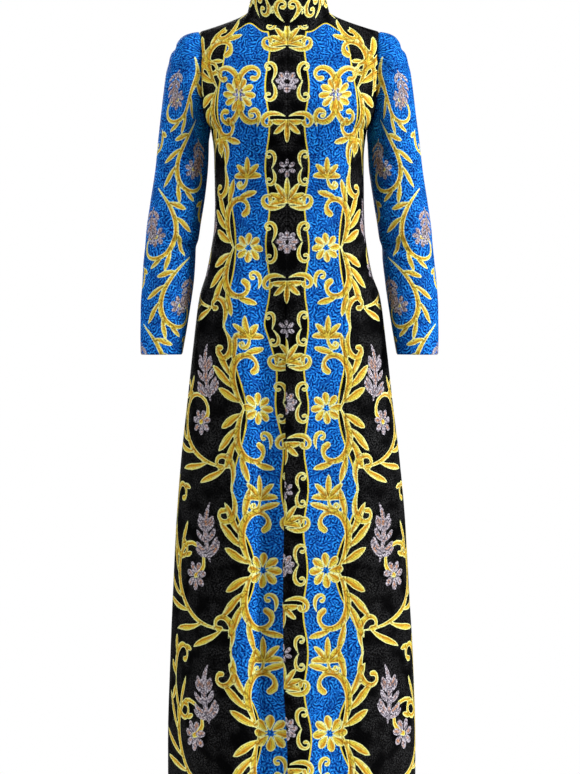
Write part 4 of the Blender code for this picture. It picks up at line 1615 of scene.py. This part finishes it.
for side in (RIGHT, LEFT):
    name = "sleeve_left" if side == LEFT else "sleeve_right"
    loop, turns = armhole_loop(side)
    long = SLEEVE["along"][-1]
    count = 2 * round(long / GRID / 2)
    along = np.linspace(0.0, long, count + 1)
    near_cuff = [long - step for step in EDGE_ROWS[::-1]]
    along = np.concatenate(([0.0, *EDGE_ROWS], along[1:-1], near_cuff, [long]))
    form = loop - sleeve_rings(turns, side, along[:1])[0]
    fading = read(SLEEVE, "armhole_form", along)[:, None, None]
    grid = sleeve_rings(turns, side, along) + fading * form
    turned = side == RIGHT
    normals = normals_of(grid, turned, ring=True)
    steps = np.linalg.norm(np.diff(grid, axis=0), axis=2)
    from_cuff = np.concatenate((np.cumsum(steps[::-1], axis=0)[::-1], np.zeros((1, len(turns)))))
    v = from_cuff - long
    middle = int(np.argmin(np.abs(turns - math.pi / 2)))
    wide = along_rows(np.concatenate((grid, grid[:, :1]), axis=1))
    u = wide[:, [middle]] - wide
    flat = np.stack((u, np.concatenate((v, v[:, :1]), axis=1)), axis=-1)
    lift = sleeve_lift(turns, along)
    outer = grid + lift[..., None] * normals
    outer[0, :, 0] += side * SEAM_GAP
    normals[0] = points_of(0 * turns, -np.sin(turns), np.cos(turns))
    inner = outer - WALL * normals
    inwards = -(normals[0] + np.array((side, 0.0, 0.0)))
    tuck = np.array((1.0, 0.5))[:, None, None] * SLEEVE_TUCK * inwards
    outer = np.concatenate((outer[0] + tuck, outer))
    inner = np.concatenate((inner[0] + tuck, inner))
    flat = np.concatenate((flat[:1], flat[:1], flat))
    fields = measured(flat, all_blue, sleeve_gold(), sleeve_silver())
    materials = (FINISHES["brocade_sleeves"], REVERSE)
    piece = shell(name + "_cloth", outer, inner, turned, True, flat, fields, materials)
    width = float(wide[:, -1].max())
    length = float(from_cuff.max())
    declare(piece, name, "brocade_sleeves", width, length, area_of(grid, ring=True))

# %% [markdown]
# The collar stands on the neckline and leans in a little towards its top. It is interlined, so
# it is thicker and keeps a clean curve, and its two ends meet at the closing line. Its lowest
# row is tucked just inside the neckline, as a sewn collar's is, so that no light shows there.
# %% Collar
COLLAR_WALL = 3.0 * MM
COLLAR_HEIGHT = 0.058
COLLAR_TOP_HALF_WIDTH = 0.065
COLLAR_TOP_DEPTH = {FRONT: 0.051, BACK: 0.049}
COLLAR_OPENING = 1.2 * MM
COLLAR_TUCK = 2.5 * MM
COLLAR_COLUMNS = 40
COLLAR_ROWS = 21
COLLAR_SHARES = np.linspace(0, 1, COLLAR_ROWS + 1)
COLLAR_SHARES = np.concatenate(([-COLLAR_TUCK / COLLAR_HEIGHT], COLLAR_SHARES))


def collar_grid():
    edge = float(read(SEAMS, "closing", PRINCESS_TOP)) - NECK_MIDDLE
    turns, hands = [], []
    for side in (LEFT, RIGHT):
        first = math.asin(side * edge / NECK_HALF_WIDTH)
        front = np.linspace(first, math.pi / 2, COLLAR_COLUMNS + 1)[:-1]
        back = np.linspace(math.pi / 2, math.pi, COLLAR_COLUMNS + 1)
        half = np.concatenate((front, back))
        turns.append(half if side == LEFT else half[-2::-1])
        hands.append(np.full(len(turns[-1]), side))
    turn, side = np.concatenate(turns), np.concatenate(hands)
    base = neck_point(turn, side)
    depth = np.where(turn < math.pi / 2, COLLAR_TOP_DEPTH[FRONT], COLLAR_TOP_DEPTH[BACK])
    x = NECK_MIDDLE + side * COLLAR_TOP_HALF_WIDTH * np.sin(turn)
    top = points_of(x, NECK_Y - depth * np.cos(turn), base[:, 2])
    run = np.linalg.norm(top - base, axis=1)
    top[:, 2] += np.sqrt(COLLAR_HEIGHT**2 - run**2)
    grid = blend(base, top, COLLAR_SHARES[:, None, None])
    return grid, unit(top.mean(axis=0) - base.mean(axis=0))


# %% [markdown]
# The collar's shell is lifted off the neckline by the seam's gap, and its two ends are drawn
# apart by the closing's width. Its print is mirrored about centre back.
# %% Collar shell
grid, lean = collar_grid()
normals = normals_of(grid, False)
level = normals[0] * np.array((1.0, 1.0, 0.0))
normals[0] = unit(level)
across = along_rows(grid)
u = np.minimum(across, across[:, -1:] - across)
v = COLLAR_HEIGHT * COLLAR_SHARES[:, None] + 0 * u
flat = np.stack((u, v), axis=-1)
fields = measured(flat, all_black, collar_gold(), [])
outer = grid + lean * SEAM_GAP
for column, way in ((0, LEFT), (-1, RIGHT)):
    outer[:, column, 0] += way * COLLAR_OPENING / 2
inner = outer - COLLAR_WALL * normals
materials = (FINISHES["brocade_collar"], REVERSE)
collar = shell("collar_cloth", outer, inner, False, False, flat, fields, materials)
width = float(across[:, -1].max())
declare(collar, "collar", "brocade_collar", width, COLLAR_HEIGHT, area_of(grid))
